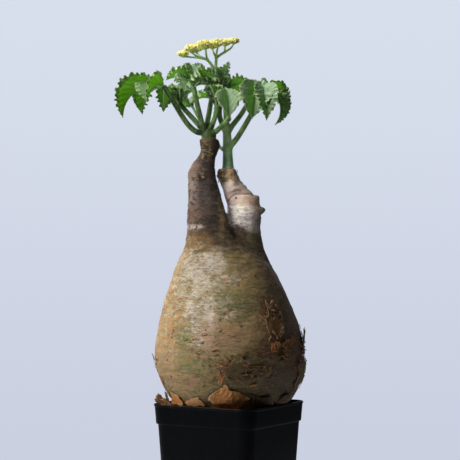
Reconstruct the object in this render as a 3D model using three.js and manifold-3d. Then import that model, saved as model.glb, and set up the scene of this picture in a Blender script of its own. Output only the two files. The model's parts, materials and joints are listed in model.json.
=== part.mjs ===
// A bottle-trunked succulent in a square nursery pot: a swollen trunk with two short necks, a leafy shoot on each
// neck, a flat head of yellow buds, and papery bark that peels from the trunk and lies on the soil.
// Millimetres, +Z up. The origin is the centre of the pot's foot, and X and Y run along the pot's sides.
// The plant stands turned in its pot, so all of its pieces are children of one turned group.
import * as THREE from "three";
import { mergeVertices } from "three/addons/utils/BufferGeometryUtils.js";
import Module from "manifold-3d";

const wasm = await Module();
wasm.setup();

const CLEAR = 0.3; // left between pieces that touch
const PLANT_TURN = 31; // degrees, the plant's own front against the pot's front
const radians = THREE.MathUtils.degToRad;
const point = (p) => new THREE.Vector3(...p);

// Solids: closed surfaces, and joining and cutting them

// Joins rings of points, anticlockwise seen from the last one, into a closed tube with fanned ends.
function loft(rings) {
  const sides = rings[0].length;
  const points = rings.flat();
  const index = [];
  const at = (ring, side) => ring * sides + (side % sides);
  for (let ring = 0; ring < rings.length - 1; ring++) {
    for (let side = 0; side < sides; side++) {
      const [a, b] = [at(ring, side), at(ring, side + 1)];
      const [c, d] = [at(ring + 1, side + 1), at(ring + 1, side)];
      index.push(a, b, c, a, c, d);
    }
  }
  const middle = (ring) =>
    ring.reduce((sum, p) => sum.add(p), new THREE.Vector3()).divideScalar(sides);
  const first = points.length;
  points.push(middle(rings[0]), middle(rings[rings.length - 1]));
  for (let side = 0; side < sides; side++) {
    index.push(first, at(0, side + 1), at(0, side));
    index.push(first + 1, at(rings.length - 1, side), at(rings.length - 1, side + 1));
  }
  return new THREE.BufferGeometry().setFromPoints(points).setIndex(index);
}

// A thin sheet between two grids of points, upper[row][column] and lower, split alike on both faces.
function sheet(upper, lower) {
  const rows = upper.length;
  const columns = upper[0].length;
  const points = [...upper.flat(), ...lower.flat()];
  const top = (row, column) => row * columns + column;
  const low = (row, column) => rows * columns + top(row, column);
  const index = [];
  const quad = (a, b, c, d) => index.push(a, b, c, a, c, d);
  for (let row = 0; row < rows - 1; row++) {
    for (let column = 0; column < columns - 1; column++) {
      const cell = [top(row, column), top(row, column + 1), top(row + 1, column + 1), top(row + 1, column)];
      const [a, b, c, d] = cell.map((corner) => corner + rows * columns);
      quad(...cell);
      index.push(a, c, b, a, d, c);
    }
    const last = columns - 1;
    quad(low(row, last), low(row + 1, last), top(row + 1, last), top(row, last));
    quad(low(row + 1, 0), low(row, 0), top(row, 0), top(row + 1, 0));
  }
  for (let column = 0; column < columns - 1; column++) {
    const last = rows - 1;
    quad(low(last, column), top(last, column), top(last, column + 1), low(last, column + 1));
    quad(low(0, column + 1), top(0, column + 1), top(0, column), low(0, column));
  }
  return new THREE.BufferGeometry().setFromPoints(points).setIndex(index);
}

function solid(geometry) {
  const bare = new THREE.BufferGeometry().setAttribute("position", geometry.getAttribute("position"));
  const merged = mergeVertices(bare.setIndex(geometry.index), 1e-4);
  return new wasm.Manifold(
    new wasm.Mesh({
      numProp: 3,
      vertProperties: merged.attributes.position.array,
      triVerts: Uint32Array.from(merged.index.array),
    }),
  );
}

const SLIVER = 0.03; // faces narrower than this, left where pieces cross, are cleared away
const join = (solids) => solids.reduce((whole, piece) => whole.add(piece)).asOriginal().simplify(SLIVER);
const cut = (whole, solids) => solids.reduce((rest, piece) => rest.subtract(piece), whole);

function mesh(name, body, material) {
  const { vertProperties, triVerts } = body.getMesh();
  const geometry = new THREE.BufferGeometry()
    .setAttribute("position", new THREE.BufferAttribute(vertProperties, 3))
    .setIndex(new THREE.BufferAttribute(triVerts, 1));
  geometry.computeVertexNormals();
  const made = new THREE.Mesh(geometry, material);
  made.name = name;
  return made;
}

const finish = (color, roughness) => new THREE.MeshStandardMaterial({ color, roughness, metalness: 0 });

// Pot: thin black plastic, square with round corners, a wider band at the rim and drain holes in a raised floor

const POT_HEIGHT = 90;
const RIM_SIDE = 90;
const RIM_CORNER = 12;
const BAND_HEIGHT = 15;
const BAND_FOOT_SIDE = RIM_SIDE - 3;
const BODY_TOP_SIDE = BAND_FOOT_SIDE - 2.7;
const FOOT_SIDE = 75.6;
const FOOT_CORNER = 9;
const LIP = 0.6; // how far the rim's top edge stands out
const WALL = 1;
const FLOOR_Z = 2; // the floor's underside
const FLOOR = 1.6;
const FOOT_RING = 5; // width of the flat ring that the pot stands on
const BOSS_RADIUS = 7; // of the flat boss in the middle of the foot, level with the ring
const DRAIN_RADIUS = 4.5;
const DRAIN_SPACING = 19;
const CORNER_STEPS = 4;
const BAND_Z = POT_HEIGHT - BAND_HEIGHT;

function squareRing(side, corner, z) {
  const ring = [];
  for (let quarter = 0; quarter < 4; quarter++) {
    for (let step = 0; step <= CORNER_STEPS; step++) {
      const angle = radians(90 * quarter + (90 * step) / CORNER_STEPS);
      const middle = radians(90 * quarter + 45);
      const reach = (side / 2 - corner) * Math.SQRT2;
      const x = reach * Math.cos(middle) + corner * Math.cos(angle);
      const y = reach * Math.sin(middle) + corner * Math.sin(angle);
      ring.push(new THREE.Vector3(x, y, z));
    }
  }
  return ring;
}

// The side of the pot's body at a height, below its band.
const bodySide = (z) => THREE.MathUtils.mapLinear(z, 0, BAND_Z, FOOT_SIDE, BODY_TOP_SIDE);
const bandSide = (z) => THREE.MathUtils.mapLinear(z, BAND_Z, POT_HEIGHT, BAND_FOOT_SIDE, RIM_SIDE - LIP);
const bodyCorner = (z) => THREE.MathUtils.mapLinear(z, 0, BAND_Z, FOOT_CORNER, RIM_CORNER - 2);

// Rings of the pot's inside at a height, in its body and in its band, drawn in by an allowance.
const bodyInside = (z, inset = 0) => squareRing(bodySide(z) - 2 * (WALL + inset), bodyCorner(z) - WALL, z);
const bandInside = (z, inset = 0) => squareRing(bandSide(z) - 2 * (WALL + inset), RIM_CORNER - 2 * WALL, z);

function potSolid() {
  const outside = loft([
    squareRing(FOOT_SIDE, FOOT_CORNER, 0),
    squareRing(BODY_TOP_SIDE, bodyCorner(BAND_Z), BAND_Z),
    squareRing(BAND_FOOT_SIDE, RIM_CORNER - 1, BAND_Z),
    squareRing(bandSide(POT_HEIGHT - 2), RIM_CORNER, POT_HEIGHT - 2),
    squareRing(RIM_SIDE, RIM_CORNER, POT_HEIGHT - 1.3),
    squareRing(RIM_SIDE, RIM_CORNER, POT_HEIGHT),
  ]);
  const ledge = BAND_Z + WALL;
  const inside = loft([bodyInside(FLOOR_Z + FLOOR), bodyInside(ledge), bandInside(ledge), bandInside(POT_HEIGHT + 1)]);
  const hollow = FOOT_SIDE - 2 * FOOT_RING;
  const under = loft([squareRing(hollow + 1, FOOT_CORNER, -1), squareRing(hollow, FOOT_CORNER, FLOOR_Z)]);
  const drains = [[1, 1], [-1, 1], [-1, -1], [1, -1]].map(([i, j]) => {
    const drill = new THREE.CylinderGeometry(DRAIN_RADIUS, DRAIN_RADIUS, 8, 12).rotateX(Math.PI / 2);
    return solid(drill.translate(i * DRAIN_SPACING, j * DRAIN_SPACING, FLOOR_Z));
  });
  const boss = new THREE.CylinderGeometry(BOSS_RADIUS, BOSS_RADIUS + 1, FLOOR_Z + 0.5, 24).rotateX(-Math.PI / 2);
  const shell = cut(solid(outside), [solid(inside), solid(under), ...drains]);
  return join([shell, solid(boss.translate(0, 0, (FLOOR_Z + 0.5) / 2))]);
}

// Trunk: a bottle on a short root that runs up into the left neck, with the right neck grown out of its shoulder

// Height, middle across and in depth, half width and half depth, from the root's tip to the top of the left neck.
const TRUNK = [
  [40, 3, 2, 2.5, 2.5],
  [46, 2.8, 2, 9, 8.5],
  [58, 2.5, 2, 19, 18],
  [70, 2, 2, 28.5, 26.5],
  [78, 1.8, 2, 35, 32.5],
  [84, 1.5, 2, 39.8, 36.6],
  [90, 1.4, 2, 43.4, 39.6],
  [96, 1, 1.5, 47.6, 43.6],
  [103, 0.6, 1, 51.4, 47.5],
  [111, 0.4, 0.5, 54.7, 50.8],
  [120, 0.2, 0, 56.3, 52.7],
  [131, 0.2, 0, 56.5, 53.5],
  [143, 0, 0, 55.2, 52.3],
  [155, -0.7, 0, 52.4, 49.6],
  [166, -1.3, 0, 49.1, 46.3],
  [177, -2.1, 0, 44.8, 42],
  [188, -3.4, 0, 39.9, 37.2],
  [198, -5.6, -0.5, 34.3, 32],
  [206, -9, -1.5, 27.6, 26.4],
  [213, -12.2, -2.5, 22, 21.6],
  [221, -14.4, -3.5, 18.8, 18.4],
  [230, -16.2, -4.5, 16.4, 16.2],
  [240, -18, -5.5, 14.1, 14.2],
  [250, -19, -6.2, 12.7, 12.8],
  [259, -20.2, -6.8, 11.4, 11.4],
  [266.5, -21, -7.2, 10.4, 10.2],
  [272, -19.8, -7.4, 8.9, 9],
  [276.5, -17.8, -7.4, 7.3, 7.6],
  [281, -15.3, -7.2, 6.5, 6.7],
  [289.5, -15, -7, 7.6, 7.4],
  [291.4, -15.4, -7, 6.6, 6.4],
];
const RIGHT_NECK = [
  [180, 13.4, 4, 27, 24],
  [187, 12, 5, 25.6, 23],
  [193, 10.8, 6, 23.7, 21.4],
  [199, 10, 6.5, 21.4, 19.6],
  [207, 9, 7, 18.6, 17.2],
  [216, 9, 7.4, 16.4, 15.6],
  [225, 9.6, 7.8, 14.4, 14.4],
  [232, 11, 8, 14, 13.8],
  [237, 12, 8, 14, 13.4],
  [242, 10.8, 8, 12.9, 12.8],
  [246.5, 9.2, 7.8, 12.9, 12.2],
  [251, 6.4, 7.4, 11.2, 11],
  [257, 2.4, 6.8, 9.2, 9.4],
  [263, -0.8, 6.2, 7.7, 8],
  [267.5, -1.6, 6, 7.2, 7.4],
  [269.4, -1.4, 6, 6.4, 6.6],
];
const LUMPS = [[2, 0.017, 0.021], [3, 0.013, -0.047], [5, 0.008, 0.09], [7, 0.005, -0.16]];
const SOIL_Z = 84;

// A station's ring: an oval with shallow lumps, which swell it by their share round the ring and turn with height.
function stationRing([z, x, y, halfWidth, halfDepth], sides, grow = 0) {
  const ring = [];
  for (let side = 0; side < sides; side++) {
    const angle = (2 * Math.PI * side) / sides;
    const lump = LUMPS.reduce((sum, [n, share, twist]) => sum + share * Math.sin(n * angle + twist * z), 1);
    const across = (halfWidth * lump + grow) * Math.cos(angle);
    ring.push(new THREE.Vector3(x + across, y + (halfDepth * lump + grow) * Math.sin(angle), z));
  }
  return ring;
}

const TRUNK_SIDES = 24;
const NECK_SIDES = 18;
const trunkSolid = () =>
  join([
    solid(loft(TRUNK.map((station) => stationRing(station, TRUNK_SIDES)))),
    solid(loft(RIGHT_NECK.map((station) => stationRing(station, NECK_SIDES)))),
  ]);

// Soil: a gritty mix that fills the pot inside its walls and band, with a plain socket round the root

function soilSolid() {
  const ledge = BAND_Z + WALL + CLEAR;
  const body = loft([
    bodyInside(FLOOR_Z + FLOOR + CLEAR, CLEAR),
    bodyInside(ledge, CLEAR + 0.1),
    bandInside(ledge, CLEAR),
    bandInside(SOIL_Z - 1.5, CLEAR),
    bandInside(SOIL_Z, CLEAR + 2),
  ]);
  const root = TRUNK.filter(([z]) => z <= 96).map(([z, ...rest]) => [z - CLEAR, ...rest]);
  const socket = solid(loft(root.map((station) => stationRing(station, TRUNK_SIDES, CLEAR + 0.1))));
  return cut(solid(body), [socket.rotate([0, 0, PLANT_TURN])]);
}

// Stems: round green tubes along curves, for the shoots, the leaf stalks and the flower stalk

// The value at a share of the way along some evenly spaced values.
function along(values, share) {
  const place = Math.min(share * (values.length - 1), values.length - 1.000001);
  return THREE.MathUtils.lerp(values[Math.floor(place)], values[Math.floor(place) + 1], place % 1);
}

// A tube from share a to share b of the curve through some points, with the radii along the whole curve.
function tube(points, radii, [a, b], steps, sides) {
  const curve = new THREE.CatmullRomCurve3(points.map(point), false, "centripetal");
  const rings = [];
  const heading = new THREE.Vector3();
  const out = new THREE.Vector3(0, 1, 0);
  for (let step = 0; step <= steps; step++) {
    const share = THREE.MathUtils.lerp(a, b, step / steps);
    const middle = curve.getPointAt(share);
    curve.getTangentAt(share, heading);
    out.addScaledVector(heading, -out.dot(heading)).normalize();
    const over = heading.clone().cross(out);
    const radius = along(radii, share);
    const ring = [];
    for (let side = 0; side < sides; side++) {
      const angle = (2 * Math.PI * side) / sides;
      const spoke = out.clone().multiplyScalar(Math.cos(angle)).addScaledVector(over, Math.sin(angle));
      ring.push(middle.clone().addScaledVector(spoke, radius));
    }
    rings.push(ring);
  }
  return solid(loft(rings));
}

const curveLength = (points) => new THREE.CatmullRomCurve3(points.map(point), false, "centripetal").getLength();

// Leaves: each is a long stalk with two to four folded, drooping leaflets whose toothed edges are ruffled.
// A leaflet is [turn, rise, droop, length, half width, roll]: the way it points, 0 being right and 90 away from the
// front, the angles above level of its base and its tip, its size, and how far it leans to its own right.
// The stalks start in their shoot, which holds the first STUB of each.

const BLADE_THICKNESS = 0.8;
const BLADE_STEP = 4.4; // about how far apart the rows of a leaflet are
const BLADE_COLUMNS = [-1, -0.6, 0, 0.6, 1];
const SMALL_BLADE_COLUMNS = [-1, 0, 1]; // for leaflets shorter than SMALL_BLADE
const SMALL_BLADE = 21;
const BLADE_ROOT = 1.6; // how far from the middle of its hub a leaflet starts
const FOLD = 54; // degrees, how far each half of a leaflet is folded up along its midrib
const RUFFLE = 0.2; // of the half width
const TOOTH = 0.1; // of the half width
const STUB = 9;
const HUB_RADIUS = 2.4;

const LEAVES = {
  left_leaf_1: {
    stalk: [[-16.5, -7.5, 296.2], [-24.5, -8.5, 296.8], [-30.3, -9.4, 301], [-43.9, -11.2, 321.7], [-49.2, -12, 330.7]],
    leaflets: [
      [184, 16, -93, 45, 15.5, 20],
      [236, 18, -80, 28, 13.5, 25],
      [138, 8, -92, 34, 12, 8],
      [95, -5, -90, 26, 9, 15],
    ],
  },
  left_leaf_2: {
    stalk: [[-16.8, -5, 295.5], [-22, -2.5, 301], [-30, 5, 310], [-38, 12, 319]],
    leaflets: [
      [200, 70, 20, 17, 8, 0],
      [110, 75, 10, 19, 9, 0],
      [330, 66, 0, 17, 8, 0],
    ],
  },
  left_leaf_3: {
    stalk: [[-16.5, -8.5, 294.5], [-19.6, -9, 299.5], [-23.8, -7, 315], [-27.2, -4, 330]],
    leaflets: [
      [186, 62, -35, 24, 12, 0],
      [100, 78, 30, 23, 10, 0],
      [345, 60, -25, 22, 11, 0],
      [250, 44, -74, 22, 11, 0],
    ],
  },
  left_leaf_4: {
    stalk: [[-16, -6, 295], [-17, -4.5, 301], [-15.4, 3, 313], [-13, 13, 329]],
    leaflets: [
      [170, 58, -14, 20, 11, 0],
      [100, 58, -20, 22, 9, 0],
    ],
  },
  left_leaf_5: {
    stalk: [[-15.5, -7.5, 295], [-14.2, -8, 299], [-11, -8.5, 308], [-9.7, -8, 314.5]],
    leaflets: [
      [250, 70, 30, 20, 10, 0],
      [150, 70, 30, 18, 8, 0],
    ],
  },
  left_leaf_6: {
    stalk: [[-15.5, -8, 295.6], [-11.5, -11, 296.2], [-6.5, -17.5, 300], [-0.5, -26, 305.5]],
    leaflets: [
      [100, 76, 56, 25, 12, 0],
      [62, 62, 34, 25, 12.5, 0],
    ],
  },
  right_leaf_1: {
    stalk: [[-2, 5.6, 296], [-5, 6.5, 302.5], [-7.6, 8, 311], [-5.5, 10, 327]],
    leaflets: [
      [135, 76, 66, 22, 9, 0],
      [50, 80, 64, 26, 7, 0],
      [0, 46, -14, 23, 11, 0],
    ],
  },
  right_leaf_2: {
    stalk: [[-1.8, 5.2, 295.5], [2, 5.8, 302], [8.5, 8, 310.5], [16, 12, 323]],
    leaflets: [
      [104, 60, 0, 22, 9.5, 0],
      [34, 64, -10, 22, 9, 0],
    ],
  },
  right_leaf_3: {
    stalk: [[-1.4, 5.6, 285], [3.5, 4, 289.5], [14.7, -1, 306.8], [21, -4.5, 319], [24.5, -6, 330.5]],
    leaflets: [
      [252, -6, -92, 36, 15.5, -25],
      [278, 5, -102, 41, 11, 0],
      [338, -8, -135, 37, 9, 0],
      [50, 20, -84, 26, 10.5, 0],
    ],
  },
  right_leaf_4: {
    radii: [1.2, 1],
    stalk: [[-1.2, 6.2, 281.5], [-5.5, 9, 284.5], [-13, 17, 293.6], [-23, 29, 308], [-30, 39, 321]],
    leaflets: [
      [190, 34, -50, 24, 10, 0],
      [105, 34, -60, 28, 11, 0],
      [30, 50, -30, 20, 8.5, 0],
    ],
  },
  right_leaf_5: {
    stalk: [[-1.4, 6, 285.5], [4, 10, 290.5], [12.2, 22, 303.9], [19, 31, 317], [22, 36, 328]],
    leaflets: [
      [20, 24, -60, 30, 11, 0],
      [100, 24, -60, 34, 12, 0],
      [162, 40, -50, 23, 9.5, 0],
    ],
  },
};

// The half width of a leaflet at share u of its length: a wedge at the base, widest past its middle, pointed.
const bladeWidth = (u, halfWidth) => halfWidth * Math.sin(Math.PI * u ** 0.92) ** 1.3 + 0.8 - 0.6 * u;

function leafletSolid(hub, [turn, rise, droop, length, halfWidth, roll], phase) {
  const [heading, start, bend] = [radians(turn), radians(rise), radians(droop - rise)];
  const forward = new THREE.Vector3(Math.cos(heading), Math.sin(heading), 0);
  const rightward = new THREE.Vector3(Math.sin(heading), -Math.cos(heading), 0);
  const [upper, lower] = [[], []];
  const steps = Math.round(length / BLADE_STEP);
  for (let step = 0; step <= steps; step++) {
    const u = step / steps;
    const tilt = start + bend * u;
    const ahead = BLADE_ROOT * Math.cos(start) + (length * (Math.sin(tilt) - Math.sin(start))) / bend;
    const above = BLADE_ROOT * Math.sin(start) + (length * (Math.cos(start) - Math.cos(tilt))) / bend;
    const rib = hub.clone().addScaledVector(forward, ahead).add(new THREE.Vector3(0, 0, above));
    const along = forward.clone().multiplyScalar(Math.cos(tilt)).add(new THREE.Vector3(0, 0, Math.sin(tilt)));
    const side = rightward.clone().applyAxisAngle(along, radians(roll));
    const up = side.clone().cross(along);
    const turnabout = step % 2 ? 1 : -1;
    const rows = [[], []];
    for (const column of length < SMALL_BLADE ? SMALL_BLADE_COLUMNS : BLADE_COLUMNS) {
      const fold = radians(FOLD * (1 - 0.3 * Math.abs(column))) * Math.sign(column);
      const out = side.clone().multiplyScalar(Math.cos(fold)).addScaledVector(up, Math.sin(fold));
      const over = up.clone().multiplyScalar(Math.cos(fold)).addScaledVector(side, -Math.sin(fold));
      const width = bladeWidth(u, halfWidth) * (1 + TOOTH * turnabout * column ** 4);
      const wave = turnabout * Math.cos(1.5 * step * column + phase);
      const ruffle = RUFFLE * bladeWidth(u, halfWidth) * Math.abs(column) ** 3 * wave;
      const skin = rib.clone().addScaledVector(out, width * column).addScaledVector(over, ruffle);
      rows[0].push(skin.clone().addScaledVector(over, BLADE_THICKNESS / 2));
      rows[1].push(skin.addScaledVector(over, -BLADE_THICKNESS / 2));
    }
    upper.push(rows[0]);
    lower.push(rows[1]);
  }
  return solid(sheet(upper, lower));
}

const STALK_RADII = [2.3, 1.8];

function leafSolid({ stalk, leaflets, radii = STALK_RADII }) {
  const hub = point(stalk[stalk.length - 1]);
  const start = (STUB + CLEAR) / curveLength(stalk);
  const ball = solid(new THREE.IcosahedronGeometry(HUB_RADIUS, 0).translate(...hub));
  const blades = leaflets.map((leaflet, number) => leafletSolid(hub, leaflet, 1.1 + number));
  return join([tube(stalk, radii, [start, 1], 5, 6), ball, ...blades]);
}

// Shoots: a short green stem on each neck, with the stubs of its leaf stalks

const LEFT_STEM = { path: [[-15.6, -7, 291.4 + CLEAR], [-15.6, -7, 295], [-15.6, -7, 299]], radii: [5.4, 5, 3] };
const RIGHT_STEM = {
  path: [[-0.9, 6, 269.5 + CLEAR], [-1.1, 5.9, 277], [-1.4, 5.7, 286], [-1.8, 5.4, 299], [-2.4, 3.4, 308]],
  radii: [4.3, 3.8, 3.5, 3.1, 1.9],
};

function shootSolid({ path, radii }, leaves) {
  const stubs = leaves.map((leaf) => {
    const share = STUB / curveLength(leaf.stalk);
    return tube(leaf.stalk, leaf.radii ?? STALK_RADII, [0, share], 2, 6);
  });
  return join([tube(path, radii, [0, 1], 6, 10), ...stubs]);
}

const leavesOf = (side) =>
  Object.entries(LEAVES)
    .filter(([name]) => name.startsWith(side))
    .map(([, leaf]) => leaf);

// Flower head: a forked green stalk from the right stem's tip, whose twigs each end in a flat knot of yellow buds
// Each twig is [path, thick and thin radius]; those that end in a knot are in KNOTS, with the knot's spread.

const FORK = [-10.4, 0, 343];
const LEFT_FORK = [-17, -1, 352.8];
const RIGHT_FORK = [-9.9, 0.5, 354.2];
const FAR_FORK = [-3.4, 1, 358.6];
const TWIGS = [
  [[[-2.4, 3.3, 308.1 + CLEAR], [-3.2, 2, 316], [-5.8, 1.2, 328], FORK], [1.9, 1.4]],
  [[FORK, [-13.6, -0.5, 348.6], LEFT_FORK], [1.3, 1.1]],
  [[FORK, [-10.2, 0.2, 349], RIGHT_FORK], [1.3, 1.1]],
  [[RIGHT_FORK, [-6.6, 0.8, 356.6], FAR_FORK], [1.1, 0.9]],
];
const KNOTS = {
  buds_1: [[LEFT_FORK, [-25, -2, 354], [-33, -2.4, 354.6], [-36.6, -2.4, 354.8]], 4.2],
  buds_2: [[LEFT_FORK, [-24, -4.5, 354.4], [-28.6, -8, 357.2]], 4.8],
  buds_3: [[LEFT_FORK, [-22, 3, 355.4], [-25.6, 7, 358.8]], 5.2],
  buds_4: [[LEFT_FORK, [-17.6, -2, 356.6], [-18, -5, 360.2]], 5.6],
  buds_5: [[RIGHT_FORK, [-11.6, 3, 357.4], [-13, 7.4, 361.6]], 5.4],
  buds_6: [[RIGHT_FORK, [-9.6, -3, 357.6], [-8.6, -7, 361.6]], 4.8],
  buds_7: [[FAR_FORK, [-3.4, 3, 361], [-3.2, 5, 363.6]], 4.2],
  buds_8: [[FAR_FORK, [2, 0.6, 361.8], [4.6, 0.4, 364.8]], 4.4],
};
const KNOT_HEART = 0.5; // how high a knot's heart is against its spread
const BUD_RADIUS = 1.15;
const BUDS_IN_KNOT = 11;

const flowerStalk = () =>
  join([
    ...TWIGS.map(([path, radii], number) => tube(path, radii, [0, 1], number ? 3 : 6, 6)),
    ...Object.values(KNOTS).map(([path]) => tube(path, [0.9, 0.65], [0, 1], 3, 5)),
  ]);

// A low round heart above the twig's end, with buds half sunk in it in a sunflower spiral from its crown down.
function knotSolid([path, spread]) {
  const halfHeight = KNOT_HEART * spread;
  const heart = point(path[path.length - 1]).add(new THREE.Vector3(0, 0, 0.65 + CLEAR + halfHeight));
  const size = new THREE.Vector3(spread - BUD_RADIUS, spread - BUD_RADIUS, halfHeight);
  const ball = new THREE.IcosahedronGeometry(1, 0).rotateX(0.55).scale(...size).translate(...heart);
  const buds = Array.from({ length: BUDS_IN_KNOT }, (_, number) => {
    const height = 1 - (1.25 * number) / (BUDS_IN_KNOT - 1);
    const angle = radians(137.5 * number);
    const place = new THREE.Vector3().setFromCylindricalCoords(Math.sqrt(1 - height ** 2), angle, height);
    const centre = new THREE.Vector3(place.x, place.z, place.y).multiply(size).multiplyScalar(0.92).add(heart);
    return solid(new THREE.OctahedronGeometry(BUD_RADIUS, 0).rotateX(number).translate(...centre));
  });
  return join([solid(ball), ...buds]);
}

// Bark: papery flakes, some still held to the trunk by their middles and some that fell between trunk and pot
// Each is [angle, angle spanned, low z, high z, clearance at its root, lift at its loose edge, skew], wrapped round
// the trunk's own shape: the angle is that of its middle, 270 being the front. The loose edge is the high one, or
// the low one if the lift is negative.

const FLAKE_THICKNESS = 0.7;
const FLAKE_STEPS = 3;
const FLAKES = {
  peeling_bark_1: [306, 20, 142, 168, 0.4, -3, 5],
  peeling_bark_2: [318, 12, 134, 141, 0.4, 2, 2],
  peeling_bark_3: [277, 28, 109, 127, 0.4, 2.6, -4],
  peeling_bark_4: [352, 22, 128, 146, 0.4, 2.6, 3],
  peeling_bark_5: [346, 26, 103, 125, 0.4, 2.2, -6],
  peeling_bark_6: [182, 14, 121, 128, 0.4, 1.4, 0],
  fallen_bark_1: [265, 34, 86.4, 104, 0.45, 3, 8],
  fallen_bark_2: [236, 18, 87.2, 95, 0.45, 3, -3],
  fallen_bark_3: [211, 20, 86.5, 99, 0.45, 3.5, 4],
  fallen_bark_4: [193, 18, 86.2, 98, 0.6, 5, -5],
  fallen_bark_5: [303, 24, 86.6, 102, 0.45, 4, -6],
  fallen_bark_6: [325, 12, 91.6, 98, 0.45, 2.5, 3],
};

// The trunk's station at a height, between the two nearest ones.
function stationAt(z) {
  const after = Math.max(1, TRUNK.findIndex(([height]) => height >= z));
  const [low, high] = [TRUNK[after - 1], TRUNK[after]];
  return low.map((value, place) => THREE.MathUtils.mapLinear(z, low[0], high[0], value, high[place]));
}

function aroundTrunk(angle, z, off) {
  const [, x, y, halfWidth, halfDepth] = stationAt(z);
  const lump = LUMPS.reduce((sum, [n, share, twist]) => sum + share * Math.sin(n * angle + twist * z), 1);
  const across = (halfWidth * lump + off) * Math.cos(angle);
  return new THREE.Vector3(x + across, y + (halfDepth * lump + off) * Math.sin(angle), z);
}

function flakeSolid([middle, span, low, high, root, lift, skew], number) {
  const [upper, lower] = [[], []];
  for (let row = 0; row <= FLAKE_STEPS; row++) {
    const rise = row / FLAKE_STEPS;
    const loose = lift > 0 ? rise : 1 - rise;
    const narrow = 1 - 0.5 * Math.abs(rise - 0.45) - 0.12 * Math.sin(9 * rise + number);
    const rows = [[], []];
    for (let column = 0; column <= FLAKE_STEPS; column++) {
      const side = (2 * column) / FLAKE_STEPS - 1;
      const angle = radians(middle + (side * span * narrow) / 2 + skew * rise);
      const ragged = (0.1 * (high - low) * Math.sin(5 * side + 3 * number)) * (2 * rise - 1);
      const z = THREE.MathUtils.lerp(low, high, rise) + ragged;
      const off = root + Math.abs(lift) * loose ** 2 + 0.25 * Math.abs(lift) * side ** 2;
      rows[0].push(aroundTrunk(angle, z, off + FLAKE_THICKNESS));
      rows[1].push(aroundTrunk(angle, z, off));
    }
    upper.push(rows[0]);
    lower.push(rows[1]);
  }
  return solid(sheet(upper, lower));
}

const root = new THREE.Group();
const plant = new THREE.Group();
plant.rotation.z = radians(PLANT_TURN);
root.add(plant);

const blackPlastic = finish(0x15161a, 0.45);
const darkSoil = finish(0x4a3a2c, 0.95);
const oliveBark = finish(0x8a7d5c, 0.7);
const freshStem = finish(0x4f7f33, 0.5);
const waxyLeaf = finish(0x5f9350, 0.55);
const budYellow = finish(0xd8c93c, 0.6);
const dryBark = finish(0xb5713c, 0.8);

root.add(mesh("pot", potSolid(), blackPlastic));
root.add(mesh("soil", soilSolid(), darkSoil));
plant.add(mesh("trunk", trunkSolid(), oliveBark));
plant.add(mesh("left_shoot", shootSolid(LEFT_STEM, leavesOf("left")), freshStem));
plant.add(mesh("right_shoot", shootSolid(RIGHT_STEM, leavesOf("right")), freshStem));
for (const [name, leaf] of Object.entries(LEAVES)) plant.add(mesh(name, leafSolid(leaf), waxyLeaf));
plant.add(mesh("flower_stalk", flowerStalk(), freshStem));
for (const [name, knot] of Object.entries(KNOTS)) plant.add(mesh(name, knotSolid(knot), budYellow));
Object.entries(FLAKES).forEach(([name, flake], number) => plant.add(mesh(name, flakeSolid(flake, number), dryBark)));

export default root;
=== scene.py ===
import json
import math
import random

import bmesh
import bpy
import numpy as np
from mathutils import Euler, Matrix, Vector, noise

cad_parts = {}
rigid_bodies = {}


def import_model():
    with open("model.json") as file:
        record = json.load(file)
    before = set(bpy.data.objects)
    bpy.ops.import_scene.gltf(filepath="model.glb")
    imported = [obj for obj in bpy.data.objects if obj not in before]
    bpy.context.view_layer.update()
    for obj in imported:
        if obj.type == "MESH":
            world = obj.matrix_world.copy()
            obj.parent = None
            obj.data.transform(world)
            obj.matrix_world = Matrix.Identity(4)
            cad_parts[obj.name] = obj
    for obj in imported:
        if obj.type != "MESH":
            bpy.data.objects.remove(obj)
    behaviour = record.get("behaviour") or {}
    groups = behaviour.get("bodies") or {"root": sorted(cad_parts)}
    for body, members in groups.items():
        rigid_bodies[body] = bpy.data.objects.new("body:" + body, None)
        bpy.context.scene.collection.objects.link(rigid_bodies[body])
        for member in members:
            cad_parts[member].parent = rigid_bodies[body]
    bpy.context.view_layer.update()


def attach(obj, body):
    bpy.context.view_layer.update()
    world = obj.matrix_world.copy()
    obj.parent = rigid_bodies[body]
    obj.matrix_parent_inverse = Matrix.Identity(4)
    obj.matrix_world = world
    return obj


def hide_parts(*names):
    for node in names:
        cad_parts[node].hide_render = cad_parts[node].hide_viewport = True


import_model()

# Pot. A thin nursery pot of black plastic, moulded in one piece: a tapered square tub with round corners, a
# wider band round the rim with a small lip, a flat ring that it stands on, and four drain holes in its floor.

# Sizes are in millimetres, and heights from the pot's foot.
POT_HEIGHT = 90.0
BAND_Z = 75.0
FOOT_SIDE, BODY_TOP_SIDE, BAND_FOOT_SIDE, BAND_TOP_SIDE, RIM_SIDE = 75.6, 84.3, 87.0, 89.4, 90.0
FOOT_CORNER, BODY_TOP_CORNER, RIM_CORNER = 9.0, 10.0, 12.0
WALL = 1.0
FLOOR_TOP, FLOOR_UNDER = 3.6, 2.0
HOLLOW_SIDE = 65.6  # of the hollow under the floor, inside the ring that the pot stands on
DRAIN_RADIUS, DRAIN_SPACING, BOSS_RADIUS = 4.5, 19.0, 7.0
BOSS_DRAFT = 0.96  # the boss's upper end against its lower one
SHARP_EDGE = 38  # degrees


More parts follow.
